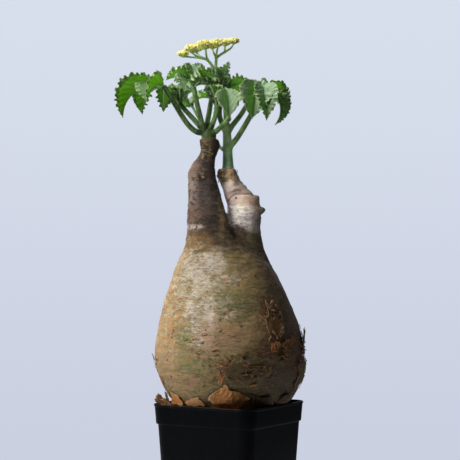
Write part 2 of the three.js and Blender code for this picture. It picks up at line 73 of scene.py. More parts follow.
class Shade:
    """A socket in the nodes of a material. Arithmetic on it adds Math nodes, and node() adds any other node."""

    def __init__(self, tree, socket=None):
        self.tree = tree
        self.socket = socket

    def node(self, kind, settings=None, values=None, output=0):
        made = self.tree.nodes.new("ShaderNode" + kind)
        for name, value in (settings or {}).items():
            if name == "stops":
                stops = made.color_ramp.elements
                while len(stops) < len(value):
                    stops.new(1)
                for stop, (place, colour) in zip(stops, value):
                    stop.position, stop.color = place, colour
            else:
                setattr(made, name, value)
        open_inputs = [socket for socket in made.inputs if socket.enabled]
        for key, value in (values or {}).items():
            named = [socket for socket in open_inputs if socket.name == key]
            socket = open_inputs[key] if isinstance(key, int) else named[0]
            if isinstance(value, Shade):
                self.tree.links.new(value.socket, socket)
            else:
                socket.default_value = value
        open_outputs = [socket for socket in made.outputs if socket.enabled]
        named = [socket for socket in open_outputs if socket.name == output]
        return Shade(self.tree, named[0] if named else open_outputs[output])

    def feed(self, shader, name):
        self.tree.links.new(self.socket, shader.inputs[name])

    def sum_with(self, operation, *values):
        return self.node("Math", {"operation": operation}, dict(enumerate(values)))

    def __add__(self, other):
        return self.sum_with("ADD", self, other)

    def __radd__(self, other):
        return self.sum_with("ADD", other, self)

    def __sub__(self, other):
        return self.sum_with("SUBTRACT", self, other)

    def __rsub__(self, other):
        return self.sum_with("SUBTRACT", other, self)

    def __mul__(self, other):
        return self.sum_with("MULTIPLY", self, other)

    def __rmul__(self, other):
        return self.sum_with("MULTIPLY", other, self)

    def __truediv__(self, other):
        return self.sum_with("DIVIDE", self, other)

    def __pow__(self, other):
        return self.sum_with("POWER", self, other)

    def __abs__(self):
        return self.sum_with("ABSOLUTE", self)


def colour(code):
    """Six hex digits as a linear colour with full alpha."""
    parts = [int(code[i : i + 2], 16) / 255 for i in (0, 2, 4)]
    return (*[p / 12.92 if p <= 0.04045 else ((p + 0.055) / 1.055) ** 2.4 for p in parts], 1.0)


def surface(name, turn=0, **constants):
    """A material, its Principled shader with some constants set, and the place on its piece in millimetres."""
    material = bpy.data.materials.new(name)
    material.use_nodes = True
    shader = material.node_tree.nodes["Principled BSDF"]
    for socket, value in constants.items():
        shader.inputs[socket.replace("_", " ")].default_value = value
    place = Shade(material.node_tree).node("TexCoord", output="Object")
    place = place.node("VectorMath", {"operation": "SCALE"}, {"Vector": place, "Scale": 1000})
    if turn:
        place = place.node("VectorRotate", {"rotation_type": "Z_AXIS"}, {"Vector": place, "Angle": -math.radians(turn)})
    return material, shader, place


def along(place, axis):
    """One of the three numbers of a place or a way."""
    return place.node("SeparateXYZ", None, {0: place}, output=axis)


def clouds(place, size, squash=1, seed=0, detail=3, rough=0.55):
    """Cloudy values round 0.5 whose spots are about size millimetres, and squash times lower than wide."""
    moved = place.node(
        "VectorMath", {"operation": "MULTIPLY_ADD"}, {0: place, 1: (1, 1, squash), 2: (31 * seed, 17 * seed, 7 * seed)}
    )
    return moved.node("TexNoise", None, {"Vector": moved, "Scale": 1 / size, "Detail": detail, "Roughness": rough})


def step_up(value, low, high):
    """0 where a value is under low, 1 over high, and smooth between."""
    return value.node(
        "MapRange", {"interpolation_type": "SMOOTHSTEP"}, {"Value": value, "From Min": low, "From Max": high}
    )


def paint(mask, under, over):
    """The colour over laid on the colour under as far as the mask says. Both may be six hex digits."""
    under, over = (colour(value) if isinstance(value, str) else value for value in (under, over))
    return mask.node("Mix", {"data_type": "RGBA", "clamp_factor": True}, {"Factor": mask, "A": under, "B": over})


def relief(height, shader, depth):
    """Raises a shader's surface by height, whose 1 is depth millimetres."""
    height.node("Bump", None, {"Strength": 1.0, "Distance": depth / 1000, "Height": height}).feed(shader, "Normal")


def build(name, points, faces, material, crease=180):
    """A mesh object from points in millimetres in the row frame, smooth except at edges sharper than crease."""
    mesh = bpy.data.meshes.new(name)
    mesh.from_pydata((np.asarray(points, float) / 1000).tolist(), [], faces)
    mesh.materials.append(material)
    mesh.shade_smooth()
    if crease < 180:
        mesh.set_sharp_from_angle(angle=math.radians(crease))
    made = bpy.data.objects.new(name, mesh)
    bpy.context.scene.collection.objects.link(made)
    return made


def settle(made):
    """Applies a piece's modifiers to its mesh."""
    whole = made.evaluated_get(bpy.context.evaluated_depsgraph_get())
    made.data = bpy.data.meshes.new_from_object(whole)
    made.modifiers.clear()


def add_to_part(made, slot, *nodes):
    """Makes a piece part of the object, in place of its CAD nodes. The finish that slot names is not used."""
    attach(made, "root")
    if nodes:
        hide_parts(*nodes)


def square_ring(side, corner, z, steps=9):
    """A square with rounded corners at some height, anticlockwise from above."""
    points = []
    for quarter in range(4):
        middle = math.radians(90 * quarter + 45)
        reach = (side / 2 - corner) * math.sqrt(2)
        for step in range(steps + 1):
            angle = math.radians(90 * (quarter + step / steps))
            x = reach * math.cos(middle) + corner * math.cos(angle)
            y = reach * math.sin(middle) + corner * math.sin(angle)
            points.append((x, y, z))
    return points


def loft(rings):
    """Points and faces of a closed skin over rings of points, each anticlockwise seen from the last one."""
    rings = np.asarray(rings, float)
    count, sides, _ = rings.shape
    grid = np.arange(count * sides).reshape(count, sides)
    after = np.roll(grid, -1, axis=1)
    walls = np.stack([grid[:-1], after[:-1], after[1:], grid[1:]], axis=-1).reshape(-1, 4)
    points = np.vstack([rings.reshape(-1, 3), rings[0].mean(0), rings[-1].mean(0)])
    first, last = count * sides, count * sides + 1
    ends = [(first, after[0][i], grid[0][i]) for i in range(sides)]
    ends += [(last, grid[-1][i], after[-1][i]) for i in range(sides)]
    return points, walls.tolist() + [tuple(map(int, end)) for end in ends]


def merge(parts):
    """Several (points, faces) in one."""
    points, faces, count = [], [], 0
    for some_points, some_faces in parts:
        faces += [[i + count for i in face] for face in some_faces]
        points.append(np.asarray(some_points))
        count += len(some_points)
    return np.vstack(points), faces


def between(z, low_z, high_z, low, high):
    """What goes evenly from low to high has this value at height z."""
    return low + (high - low) * (z - low_z) / (high_z - low_z)


def body_side(z):
    return between(z, 0, BAND_Z, FOOT_SIDE, BODY_TOP_SIDE)


def body_corner(z):
    return between(z, 0, BAND_Z, FOOT_CORNER, BODY_TOP_CORNER)


def band_side(z):
    return between(z, BAND_Z, POT_HEIGHT, BAND_FOOT_SIDE, BAND_TOP_SIDE)


def black_plastic():
    material, shader, place = surface("black_plastic", Specular_IOR_Level=0.07)
    height = along(place, "Z")
    blotch = clouds(place, 22, seed=1)
    streak = clouds(place, 2.4, squash=0.12, seed=2)
    dust = step_up(clouds(place, 1.1, seed=3, detail=5), 0.56, 0.74)
    settled = step_up(height, 86, 90.4) * 0.5
    base = paint(blotch, "050608", "0a0b0e")
    base = paint(step_up(streak, 0.52, 0.8) * 0.35, base, "131519")
    base = paint(dust * (settled + 0.05) * 0.6, base, "6d655a")
    base.feed(shader, "Base Color")
    (0.36 + 0.16 * blotch + 0.12 * dust).feed(shader, "Roughness")
    relief(clouds(place, 0.5, seed=4, detail=2) * 0.5 + streak * 0.5, shader, 0.07)
    return material


def make_pot():
    # Rings of the outside from the foot to the rim, of the inside down to the floor, and of the hollow under it.
    outside = [
        (FOOT_SIDE - 1.0, FOOT_CORNER - 0.5, 0),
        (FOOT_SIDE - 0.3, FOOT_CORNER - 0.1, 0.2),
        (body_side(0.9), FOOT_CORNER, 0.9),
        *[(body_side(z), body_corner(z), z) for z in (10, 25, 40, 55, 66, 73.6)],
        (body_side(74.4) + 0.2, BODY_TOP_CORNER, 74.5),
        (body_side(74.4) + 0.8, BODY_TOP_CORNER + 0.2, 74.9),
        (BAND_FOOT_SIDE - 0.5, RIM_CORNER - 1.2, 75.0),
        (BAND_FOOT_SIDE - 0.1, RIM_CORNER - 1, 75.2),
        (band_side(75.8), RIM_CORNER - 1, 75.8),
        *[(band_side(z), RIM_CORNER - 0.6 + 0.05 * (z - 80), z) for z in (80, 84, 87.6)],
        (band_side(88) + 0.05, RIM_CORNER, 88.1),
        (RIM_SIDE - 0.1, RIM_CORNER, 88.6),
        (RIM_SIDE, RIM_CORNER, 89.1),
        (RIM_SIDE - 0.1, RIM_CORNER, 89.7),
        (RIM_SIDE - 0.6, RIM_CORNER - 0.2, 90),
    ]
    inside = [
        (band_side(90) - 2 * WALL + 0.5, RIM_CORNER - 1.4, 90),
        (band_side(90) - 2 * WALL + 0.1, RIM_CORNER - 2, 89.8),
        (band_side(89) - 2 * WALL, RIM_CORNER - 2, 89),
        (band_side(83) - 2 * WALL, RIM_CORNER - 2, 83),
        (band_side(76) - 2 * WALL, RIM_CORNER - 2, 76.2),
        (body_side(75) - 2 * WALL, body_corner(75) - 1, 76),
        (body_side(40) - 2 * WALL, body_corner(40) - 1, 40),
        (body_side(4.4) - 2 * WALL, FOOT_CORNER - 1, 4.4),
        (body_side(3.6) - 2 * WALL - 1, FOOT_CORNER - 1, FLOOR_TOP),
    ]
    under = [
        (HOLLOW_SIDE, FOOT_CORNER, FLOOR_UNDER),
        (HOLLOW_SIDE + 0.3, FOOT_CORNER, 1.4),
        (HOLLOW_SIDE + 0.8, FOOT_CORNER, 0.1),
        (HOLLOW_SIDE + 1.4, FOOT_CORNER, 0),
    ]
    points, faces = loft([square_ring(*ring) for ring in under + outside + inside])
    pot = build("square_pot", points, faces, black_plastic(), crease=SHARP_EDGE)
    # The drain holes are cut out, and the boss under the floor is joined on.
    rounds = [(x * DRAIN_SPACING, y * DRAIN_SPACING, DRAIN_RADIUS, -3, 6) for x in (1, -1) for y in (1, -1)]
    tools = []
    for x, y, radius, low, high in [*rounds, (0, 0, BOSS_RADIUS, 0, FLOOR_UNDER + 0.5)]:
        turns = [2 * math.pi * i / 40 for i in range(40)]
        draft = BOSS_DRAFT if radius == BOSS_RADIUS else 1
        ends = [(low, radius), (low + 0.3, radius), (high, draft * radius)]
        tools.append(loft([[(x + r * math.cos(t), y + r * math.sin(t), z) for t in turns] for z, r in ends]))
    for number, (operation, parts) in enumerate((("DIFFERENCE", tools[:4]), ("UNION", tools[4:]))):
        tool = build(f"tool_{number}", *merge(parts), pot.data.materials[0])
        cut = pot.modifiers.new(operation, "BOOLEAN")
        cut.operation, cut.object, cut.solver = operation, tool, "EXACT"
    settle(pot)
    for number in (0, 1):
        bpy.data.objects.remove(bpy.data.objects[f"tool_{number}"])
    pot.data.set_sharp_from_angle(angle=math.radians(SHARP_EDGE))
    add_to_part(pot, "black_plastic", "pot")


make_pot()

# Trunk. The swollen stem of the plant: one round woody bottle on a short root, that narrows into a neck on the
# left, with a second neck grown out of its right shoulder. Thin skin, olive and grey, wrinkled across.

PLANT_TURN = 31  # degrees, the plant's own front against the pot's
# Height, middle across and in depth, half width and half depth, from the root's tip to the top of the left neck.
TRUNK = np.array([
    [40, 3, 2, 2.5, 2.5], [46, 2.8, 2, 9, 8.5], [58, 2.5, 2, 19, 18], [70, 2, 2, 28.5, 26.5],
    [78, 1.8, 2, 35, 32.5], [84, 1.5, 2, 39.8, 36.6], [90, 1.4, 2, 43.4, 39.6], [96, 1, 1.5, 47.6, 43.6],
    [103, 0.6, 1, 51.4, 47.5], [111, 0.4, 0.5, 54.7, 50.8], [120, 0.2, 0, 56.3, 52.7], [131, 0.2, 0, 56.5, 53.5],
    [143, 0, 0, 55.2, 52.3], [155, -0.7, 0, 52.4, 49.6], [166, -1.3, 0, 49.1, 46.3], [177, -2.1, 0, 44.8, 42],
    [188, -3.4, 0, 39.9, 37.2], [198, -5.6, -0.5, 34.3, 32], [206, -9, -1.5, 27.6, 26.4],
    [213, -12.2, -2.5, 22, 21.6], [221, -14.4, -3.5, 18.8, 18.4], [230, -16.2, -4.5, 16.4, 16.2],
    [240, -18, -5.5, 14.1, 14.2], [250, -19, -6.2, 12.7, 12.8], [259, -20.2, -6.8, 11.4, 11.4],
    [266.5, -21, -7.2, 10.4, 10.2], [272, -19.8, -7.4, 8.9, 9], [276.5, -17.8, -7.4, 7.3, 7.6],
    [281, -15.3, -7.2, 6.5, 6.7], [289.5, -15, -7, 7.6, 7.4], [291.4, -15.4, -7, 6.6, 6.4],
])
RIGHT_NECK = np.array([
    [180, 13.4, 4, 27, 24], [187, 12, 5, 25.6, 23], [193, 10.8, 6, 23.7, 21.4], [199, 10, 6.5, 21.4, 19.6],
    [207, 9, 7, 18.6, 17.2], [216, 9, 7.4, 16.4, 15.6], [225, 9.6, 7.8, 14.4, 14.4], [232, 11, 8, 14, 13.8],
    [237, 12, 8, 14, 13.4], [242, 10.8, 8, 12.9, 12.8], [246.5, 9.2, 7.8, 12.9, 12.2], [251, 6.4, 7.4, 11.2, 11],
    [257, 2.4, 6.8, 9.2, 9.4], [263, -0.8, 6.2, 7.7, 8], [267.5, -1.6, 6, 7.2, 7.4], [269.4, -1.4, 6, 6.4, 6.6],
])
# How a limb departs from an oval: waves round it, their share of its size, and their twist in a millimetre of height.
LUMPS = [(2, 0.017, 0.021), (3, 0.013, -0.047), (5, 0.008, 0.09), (7, 0.005, -0.16)]
VOXEL = 1.0  # of the skin that joins the bottle and its necks
CREASE_REACH = 5.0  # how far from the crotch between the necks the bark is rounded off
CREASE_ROUNDS = 24  # how often it is evened there
MOST_MOVE = 1.2  # that brings the joined skin back to a limb's own
NECK_BEND = 0.29  # how fast the right neck's wrinkles bend down towards its left

# Scars and knobs: on the left neck or the right, angle (270 the front) and height, radius and height of the swelling.
SCARS = [
    ("left", 234, 266.5, 5.5, 1.3), ("left", 262, 263.6, 1.5, -1.2), ("left", 274, 261.8, 1.5, -1.2),
    ("left", 250, 258.5, 4, 0.5), ("left", 205, 249, 4, 0.5), ("left", 300, 276, 2.6, -0.7),
    ("left", 330, 285, 3.6, 0.8), ("left", 256, 272, 2, -0.7), ("left", 315, 240, 5, 0.7),
    ("left", 190, 231, 6, 0.6), ("left", 120, 262, 4, 1.0), ("left", 60, 246, 5, 0.9), ("left", 20, 226, 5, 0.7),
    ("right", 356, 246.8, 2.2, 1.6), ("right", 2, 237.2, 2.4, 1.9), ("right", 40, 240, 3, 1.2),
    ("right", 268, 262.5, 1.7, -0.9), ("right", 225, 250, 3.4, 0.6), ("right", 90, 252, 3.5, 1.1),
    ("right", 140, 236, 4, 0.8), ("right", 320, 229, 4.6, -0.5), ("right", 250, 232, 6, 0.5),
    ("right", 100, 220, 5, 0.8),
]
# Growth rings. On the left half of the plant and on the right: millimetres between them, their height, low and high.
FINE_RINGS = [("left", 7.3, 0.2, 206, 262), ("right", 5.4, 0.22, 222, 268)]
# The bold ones of the right neck: height at its right side, how far each stands out, half its height.
BOLD_RINGS = [
    (232.5, -0.6, 1.1), (240, -0.4, 1.0), (247.4, 0.5, 0.9), (249.6, -0.6, 0.8), (254.2, -0.5, 0.8), (256, 0.4, 0.8),
    (259.6, -0.5, 0.8), (263.4, 0.8, 1.1),
]
FAR_OFF = 99  # millimetres, for a skin that a point has nothing to do with


def turned(points):
    """Points in the plant's own frame, moved to the row frame."""
    c, s = math.cos(math.radians(PLANT_TURN)), math.sin(math.radians(PLANT_TURN))
    return np.asarray(points, float) @ np.array([[c, s, 0], [-s, c, 0], [0, 0, 1]])


def station(table, z):
    """The middle and the half sizes of a trunk or neck at some heights, on a smooth curve through its table."""
    heights = table[:, 0]
    z = np.clip(np.asarray(z, float), heights[0], heights[-1])
    slopes = np.gradient(table[:, 1:], heights, axis=0)
    low = np.clip(np.searchsorted(heights, z, side="right") - 1, 0, len(heights) - 2)
    gap = (heights[low + 1] - heights[low])[..., None]
    t = (z - heights[low])[..., None] / gap
    a, b = table[low, 1:], table[low + 1, 1:]
    return (
        a * (2 * t**3 - 3 * t**2 + 1) + b * (3 * t**2 - 2 * t**3)
        + gap * slopes[low] * (t**3 - 2 * t**2 + t) + gap * slopes[low + 1] * (t**3 - t**2)
    )


def around(table, angle, z, off=0.0):
    """Points on a trunk or neck at some angles and heights, moved off its skin."""
    x, y, half_width, half_depth = np.moveaxis(station(table, z), -1, 0)
    lump = 1 + sum(share * np.sin(n * angle + twist * z) for n, share, twist in LUMPS)
    across, deep = (half_width * lump + off) * np.cos(angle), (half_depth * lump + off) * np.sin(angle)
    return np.stack([x + across, y + deep, z + 0 * angle], axis=-1)


def skin_of(table, sides, step):
    """Points and faces of a limb's closed skin, with rings about step millimetres apart."""
    heights = np.linspace(table[0, 0], table[-1, 0], round((table[-1, 0] - table[0, 0]) / step) + 1)
    turns = np.linspace(0, 2 * math.pi, sides, endpoint=False)
    return loft(around(table, turns[None, :], heights[:, None]))


def to_skin(table, points):
    """How far out each point would move to lie on a trunk or neck, and the way out."""
    x, y, half_width, half_depth = station(table, points[:, 2]).T
    angle = np.arctan2((points[:, 1] - y) / half_depth, (points[:, 0] - x) / half_width)
    place = around(table, angle, points[:, 2])
    way = np.stack([points[:, 0] - x, points[:, 1] - y], axis=1)
    length = np.maximum(np.linalg.norm(way, axis=1), 1e-6)
    reach = np.hypot(place[:, 0] - x, place[:, 1] - y)
    return reach - length, way / length[:, None]


def swells(points, size, seed, squash=1):
    """Noise from -1 to 1 at each point, with swells about size millimetres across and squash times lower."""
    scale = np.array([1, 1, squash]) / size
    return np.array([noise.noise(Vector(p)) for p in (points * scale + 13.7 * seed).tolist()])


def skin_marks(points):
    """How far the trunk's skin stands out at each point: swellings, wrinkles across, growth rings and scars."""
    x, _, z = points.T
    neck = np.clip((z - 205) / 25, 0, 1)
    out = -0.35 + 0.7 * swells(points, 22, 1, 1.3) * (1 - neck) + 0.45 * swells(points, 9, 2, 1.6)
    wrinkle = swells(points, 7, 3, 4.5)
    out += (0.16 + 0.2 * neck) * (1 - 2 * np.abs(wrinkle))
    wander = 4 * swells(points, 16, 4, 1)
    for half, gap, depth, low, high in FINE_RINGS:
        side = 1 / (1 + np.exp((x + 3) * (1.2 if half == "left" else -1.2)))
        inside = np.clip((z - low) / 8, 0, 1) * np.clip((high - z) / 8, 0, 1)
        out += depth * side * inside * np.sin(2 * math.pi * (z + wander) / gap) * (0.6 + 0.8 * swells(points, 17, 5))
    for limb, angle, height, radius, stand in SCARS:
        centre = around(RIGHT_NECK if limb == "right" else TRUNK, math.radians(angle), np.array(float(height)))
        near = np.exp(-(((points - centre) ** 2).sum(1)) / radius**2)
        out += stand * near
    right = 1 / (1 + np.exp(-(x + 1) * 1.5)) * (z > 224)
    for height, depth, width in BOLD_RINGS:
        bend = height - NECK_BEND * np.clip(5 - x, 0, 14) ** 1.6 + 0.35 * wander
        out += depth * right * np.exp(-(((z - bend) / width) ** 2))
    return out


def spots(place, size, seed, low, high):
    """Small round marks about size millimetres apart: 1 inside, 0 outside. Low and high are of the distance out."""
    shifted = place.node("VectorMath", {"operation": "ADD"}, {0: place, 1: (5 * seed, 3 * seed, seed)})
    distance = shifted.node("TexVoronoi", None, {"Vector": shifted, "Scale": 1 / size}, output="Distance")
    return 1 - step_up(distance, low, high)


def patch(place, centre, radii, ragged, seed, sharp=0.35):
    """A ragged patch on the plant: 1 inside an oval round a point, 0 outside."""
    away = place.node("VectorMath", {"operation": "SUBTRACT"}, {0: place, 1: centre})
    away = away.node("VectorMath", {"operation": "DIVIDE"}, {0: away, 1: radii})
    away = away.node("VectorMath", {"operation": "LENGTH"}, {0: away}, output="Value")
    away = away + ragged * (clouds(place, min(radii) * 0.45, 1.6, seed, 5, 0.65) - 0.5)
    return 1 - step_up(away, 1 - sharp, 1 + sharp)


def bark_skin():
    material, shader, place = surface("bark", turn=PLANT_TURN, Specular_IOR_Level=0.35)
    height = along(place, "Z")
    across = along(place, "X")
    broad = clouds(place, 26, 1.4, 1)
    middle = clouds(place, 8, 2.2, 2, 5, 0.62)
    streak = clouds(place, 6.5, 5, 3, 6, 0.68)
    fine = clouds(place, 1.8, 2.2, 4, 5, 0.7)
    grit = clouds(place, 0.6, 1.5, 5, 3, 0.6)
    blotch = clouds(place, 4.2, 1.5, 6, 6, 0.7)
    band = clouds(place, 19, 4.5, 61, 6, 0.68)
    # The bottle: tan and olive, streaked across, brighter on its left and mossy low down.
    base = paint(step_up(broad, 0.38, 0.64), "938256", "ab9069")
    base = paint(step_up(middle, 0.44, 0.62) * 0.6, base, "75704a")
    base = paint(step_up(streak, 0.5, 0.62) * 0.55, base, "b89b74")
    base = paint(step_up(1 - streak, 0.52, 0.64) * 0.36, base, "574a30")
    left = step_up(-1 * across, 22, 50) * step_up(height, 100, 140) * step_up(218 - height, 0, 30)
    base = paint(left * step_up(middle + 0.3 * fine, 0.5, 0.74) * 0.75, base, "bd925c")
    base = paint(left * step_up(1 - middle, 0.48, 0.62) * 0.6, base, "c4b28f")
    lower_moss = step_up(128 - height, 0, 34) * step_up(clouds(place, 12, 1.4, 7, 5, 0.65), 0.4, 0.56)
    base = paint(lower_moss * 0.45, base, "716e44")
    # Its large patches: chalky high on the left, olive and green below, pinkish between.
    broken = 0.45 * step_up(blotch, 0.4, 0.52) + 0.55 * step_up(streak, 0.4, 0.54)
    for centre, radii, ragged, seed, shade, share in (
        ((-17, -38, 180), (17, 26, 24), 5.4, 11, "d2c8bb", 0.95),
        ((-20, -47, 150), (11, 22, 16), 3.6, 12, "d3c5b6", 0.9),
        ((-24, -34, 195), (16, 20, 12), 5.2, 13, "c2b7ab", 0.75),
        ((-36, -36, 186), (10, 20, 18), 3.4, 24, "b9b09c", 0.7),
        ((-34, -40, 141), (7, 16, 9.5), 2.6, 14, "6c7440", 0.95),
        ((-33, -42, 122), (11, 18, 8), 3.2, 15, "6b7a4a", 0.7),
        ((-2, -44, 176), (22, 20, 6), 3.0, 16, "7d7230", 0.8),
        ((4, -42, 166), (15, 20, 9), 3.4, 17, "55663c", 0.75),
        ((2, -50, 122), (30, 20, 10), 3.4, 18, "687046", 0.7),
        ((-12, -50, 106), (22, 24, 10), 3.2, 19, "77703e", 0.65),
        ((-46, -28, 118), (10, 20, 14), 3.4, 20, "a88468", 0.5),
        ((-30, -46, 108), (9, 20, 6), 3.6, 25, "ad8166", 0.7),
        ((-8, -50, 146), (16, 20, 10), 3.8, 21, "a3785a", 0.8),
        ((-14, -50, 132), (24, 20, 5), 3.6, 26, "94795f", 0.7),
        ((30, 34, 150), (26, 20, 30), 3.4, 22, "8e8268", 0.7),
        ((-30, 34, 130), (20, 20, 26), 3.4, 23, "7a7a4c", 0.7),
    ):
        base = paint(patch(place, centre, radii, ragged, seed) * broken * share, base, shade)
    for cloud, low, high, share, shade in (
        ((5, 1.8, 43, 6, 0.7), 0.54, 0.64, 0.55, "b59377"), ((4.4, 1.8, 44, 6, 0.7), 0.55, 0.66, 0.45, "5f6238"),
        ((8, 2.4, 48, 5, 0.68), 0.54, 0.6, 0.6, "857a3f"), ((6, 2.2, 49, 5, 0.7), 0.56, 0.62, 0.6, "bd8751"),
    ):
        base = paint(step_up(clouds(place, *cloud), low, high) * share, base, shade)
    chalky = step_up(clouds(place, 6, 1.6, 45, 6, 0.72), 0.53, 0.64)
    chalky = chalky * step_up(-1 * across, -20, 20) * step_up(height, 120, 170)
    base = paint(chalky * 0.6, base, "d6cdc0")
    # Thin dark lines across it, painted shade on its right side and more of it low on the right, and raw reddish bark
    # where flakes have come off.
    lines = clouds(place, 15, 11, 46, 4, 0.6) - 0.5
    line = (1 - step_up(abs(lines), 0.0, 0.016)) * step_up(clouds(place, 16, 1, 47), 0.4, 0.55)
    base = paint(line * 0.55, base, "3f3323")
    # Painted shade: the right side darkened, and darker still low down on the right.
    right = step_up(across, 10, 46) * step_up(218 - height, 0, 20)
    base = paint(right * 0.55, base, "4d3d2c")
    foot = step_up(across + 8 * (middle - 0.5), 6, 30) * step_up(132 - height + 16 * (blotch - 0.5), 0, 20)
    base = paint(foot * 0.6, base, "38291c")
    torn = patch(place, (31, -38, 155), (9, 14, 17), 3.4, 50) + patch(place, (0, -50, 117), (13, 16, 9), 3.6, 51)
    torn = torn + patch(place, (52, -4, 130), (10, 30, 26), 3.4, 52)
    torn = torn + patch(place, (26, -46, 133), (14, 20, 7), 3.6, 53)
    base = paint(torn * step_up(blotch, 0.42, 0.52) * 0.75, base, "70432a")
    base = paint(torn * step_up(fine, 0.54, 0.62) * 0.7, base, "b98a62")
    # The necks: dark brown on the left, made darker still by painted shade, with a pinkish bulge, a russet foot, a pale
    # ring and ochre under it; pale and chalky on the right, with a scaly collar and painted shade on its right side;
    # and a painted shadow in the saddle between them.
    on_left = step_up(-6 - across + 12 * (middle - 0.5), -4, 4)
    on_right = step_up(across + 0.22 * height - 50, -1.5, 1.5) * step_up(275 - height, 0, 2)
    on_right = on_right * step_up(height + 0.25 * across + 5 * (blotch - 0.5), 223, 228)
    neck = step_up(height + 26 * (middle - 0.5) + 0.3 * across, 198, 213)
    # The left neck's brown, darker than its bark alone: painted shade.
    brown_and_shade = paint(step_up(middle, 0.4, 0.58), "201814", "302520")
    brown_and_shade = paint(step_up(streak, 0.5, 0.62) * 0.4, brown_and_shade, "4f3f33")
    brown_and_shade = paint(step_up(band, 0.5, 0.58) * 0.6, brown_and_shade, "46372f")
    brown_and_shade = paint(step_up(1 - band, 0.52, 0.6) * 0.7, brown_and_shade, "231712")
    outside = step_up(-22 - across, -1, 7)
    brown_and_shade = paint(outside * step_up(blotch, 0.38, 0.54) * 0.75, brown_and_shade, "948578")
    base = paint(neck * on_left, base, brown_and_shade)
    # Painted shadow in the saddle between the necks.
    saddle_shadow = neck * (1 - on_left) * (1 - on_right) * (0.55 + 0.4 * step_up(1 - blotch, 0.45, 0.6))
    base = paint(saddle_shadow, base, "332a22")
    russet = patch(place, (-28, -15, 233), (9, 14, 7), 3.4, 39) * step_up(blotch, 0.4, 0.54)
    base = paint(russet * 0.75, base, "6a4937")
    ochre = step_up(height, 203, 207) * step_up(223 - height, 0, 5) * step_up(-10 - across, -6, 8)
    base = paint(ochre * step_up(middle, 0.36, 0.54) * 0.85, base, "74562a")
    base = paint(ochre * step_up(blotch, 0.55, 0.62) * 0.4, base, "a68a5a")
    pale_ring = patch(place, (-27, -12, 224.6), (9, 14, 1.8), 2.4, 31)
    base = paint(pale_ring * step_up(blotch, 0.42, 0.5) * 0.8, base, "c9b8ab")
    bulge = patch(place, (-27, -13, 268), (6.5, 8, 6), 1.6, 32)
    base = paint(bulge * 0.55, base, "937769")
    base = paint(bulge * step_up(blotch, 0.5, 0.58) * 0.7, base, "5f4334")
    olive = patch(place, (-18, -14, 285), (5, 6, 9), 1.8, 33) * step_up(streak, 0.42, 0.56)
    base = paint(olive * 0.8, base, "8a8048")
    base = paint(step_up(height, 285, 291) * on_left * 0.6, base, "4f3a28")
    base = paint(patch(place, (-9.5, -8, 287), (6, 13, 12), 1.6, 36) * 0.88, base, "2b1f19")
    chalk = paint(step_up(middle, 0.4, 0.56), "938a86", "bfb8b4")
    chalk = paint(step_up(streak, 0.52, 0.62) * 0.55, chalk, "77675f")
    chalk = paint(step_up(blotch, 0.53, 0.6) * 0.5, chalk, "6b625f")
    chalk = paint(step_up(fine, 0.52, 0.62) * 0.5, chalk, "d8d2ce")
    chalk = paint(step_up(height - 0.2 * across, 238, 243) * 0.7, chalk, "94796a")
    chalk = paint(step_up(height - 0.2 * across, 238, 243) * step_up(blotch, 0.5, 0.6) * 0.6, chalk, "b9a695")
    tan_shoulder = patch(place, (18, 2, 243), (9, 14, 6), 4.2, 37, 0.6)
    chalk = paint(tan_shoulder * 0.6, chalk, "a98560")
    leftward = 5 - across
    ridge = height - 247.4 + NECK_BEND * leftward.sum_with("MAXIMUM", leftward, 0.0) ** 1.6 + 2.4 * (broad - 0.5)
    chalk = paint((1 - step_up(abs(ridge), 0.4, 1.4)) * 0.4, chalk, "c6b6aa")
    chalk = paint((1 - step_up(abs(ridge - 2.2), 0.3, 1.1)) * 0.6, chalk, "5c4636")
    # Painted shade on the right neck's right side, away from the light.
    chalk = paint(step_up(across + 7 * (blotch - 0.5), 13, 23) * 0.65, chalk, "5b4838")
    base = paint(on_right, base, chalk)
    scaly = on_right * step_up(height + 6 * (blotch - 0.5), 262, 266)
    base = paint(scaly * 0.8, base, "8f5f38")
    base = paint(scaly * step_up(fine, 0.52, 0.62) * 0.7, base, "d2a873")
    base = paint(scaly * step_up(1 - fine, 0.52, 0.6) * 0.45, base, "3f2818")
    straw = on_right * patch(place, (-1.5, 2, 270), (9, 16, 3.2), 1.8, 40) * step_up(blotch, 0.42, 0.54)
    base = paint(straw * 0.75, base, "b8a266")
    base = paint(patch(place, (6, 2, 266), (3.4, 12, 4.5), 1.8, 54) * 0.7, base, "33251b")
    # A dark patch low in the crotch between the necks: painted shadow.
    base = paint(patch(place, (3, -3, 221), (10, 16, 6), 2.2, 34) * 0.9, base, "221c17")
    mossy = patch(place, (14, -6, 214), (12, 16, 7), 3.0, 38) * step_up(blotch, 0.46, 0.56)
    base = paint(mossy * 0.7, base, "343828")
    for scar, size in (
        ((-23.6, -16.4, 263.6), 1.5), ((-19.6, -17.9, 261.8), 1.9), ((-0.6, -1.9, 262.5), 1.5), ((23, 7, 246.8), 2.4),
        ((26.6, 8, 237.2), 2.6), ((-18, -14.6, 277), 2.0),
    ):
        base = paint(patch(place, scar, (size,) * 3, 1.4, 35) * 0.85, base, "2a1a12")
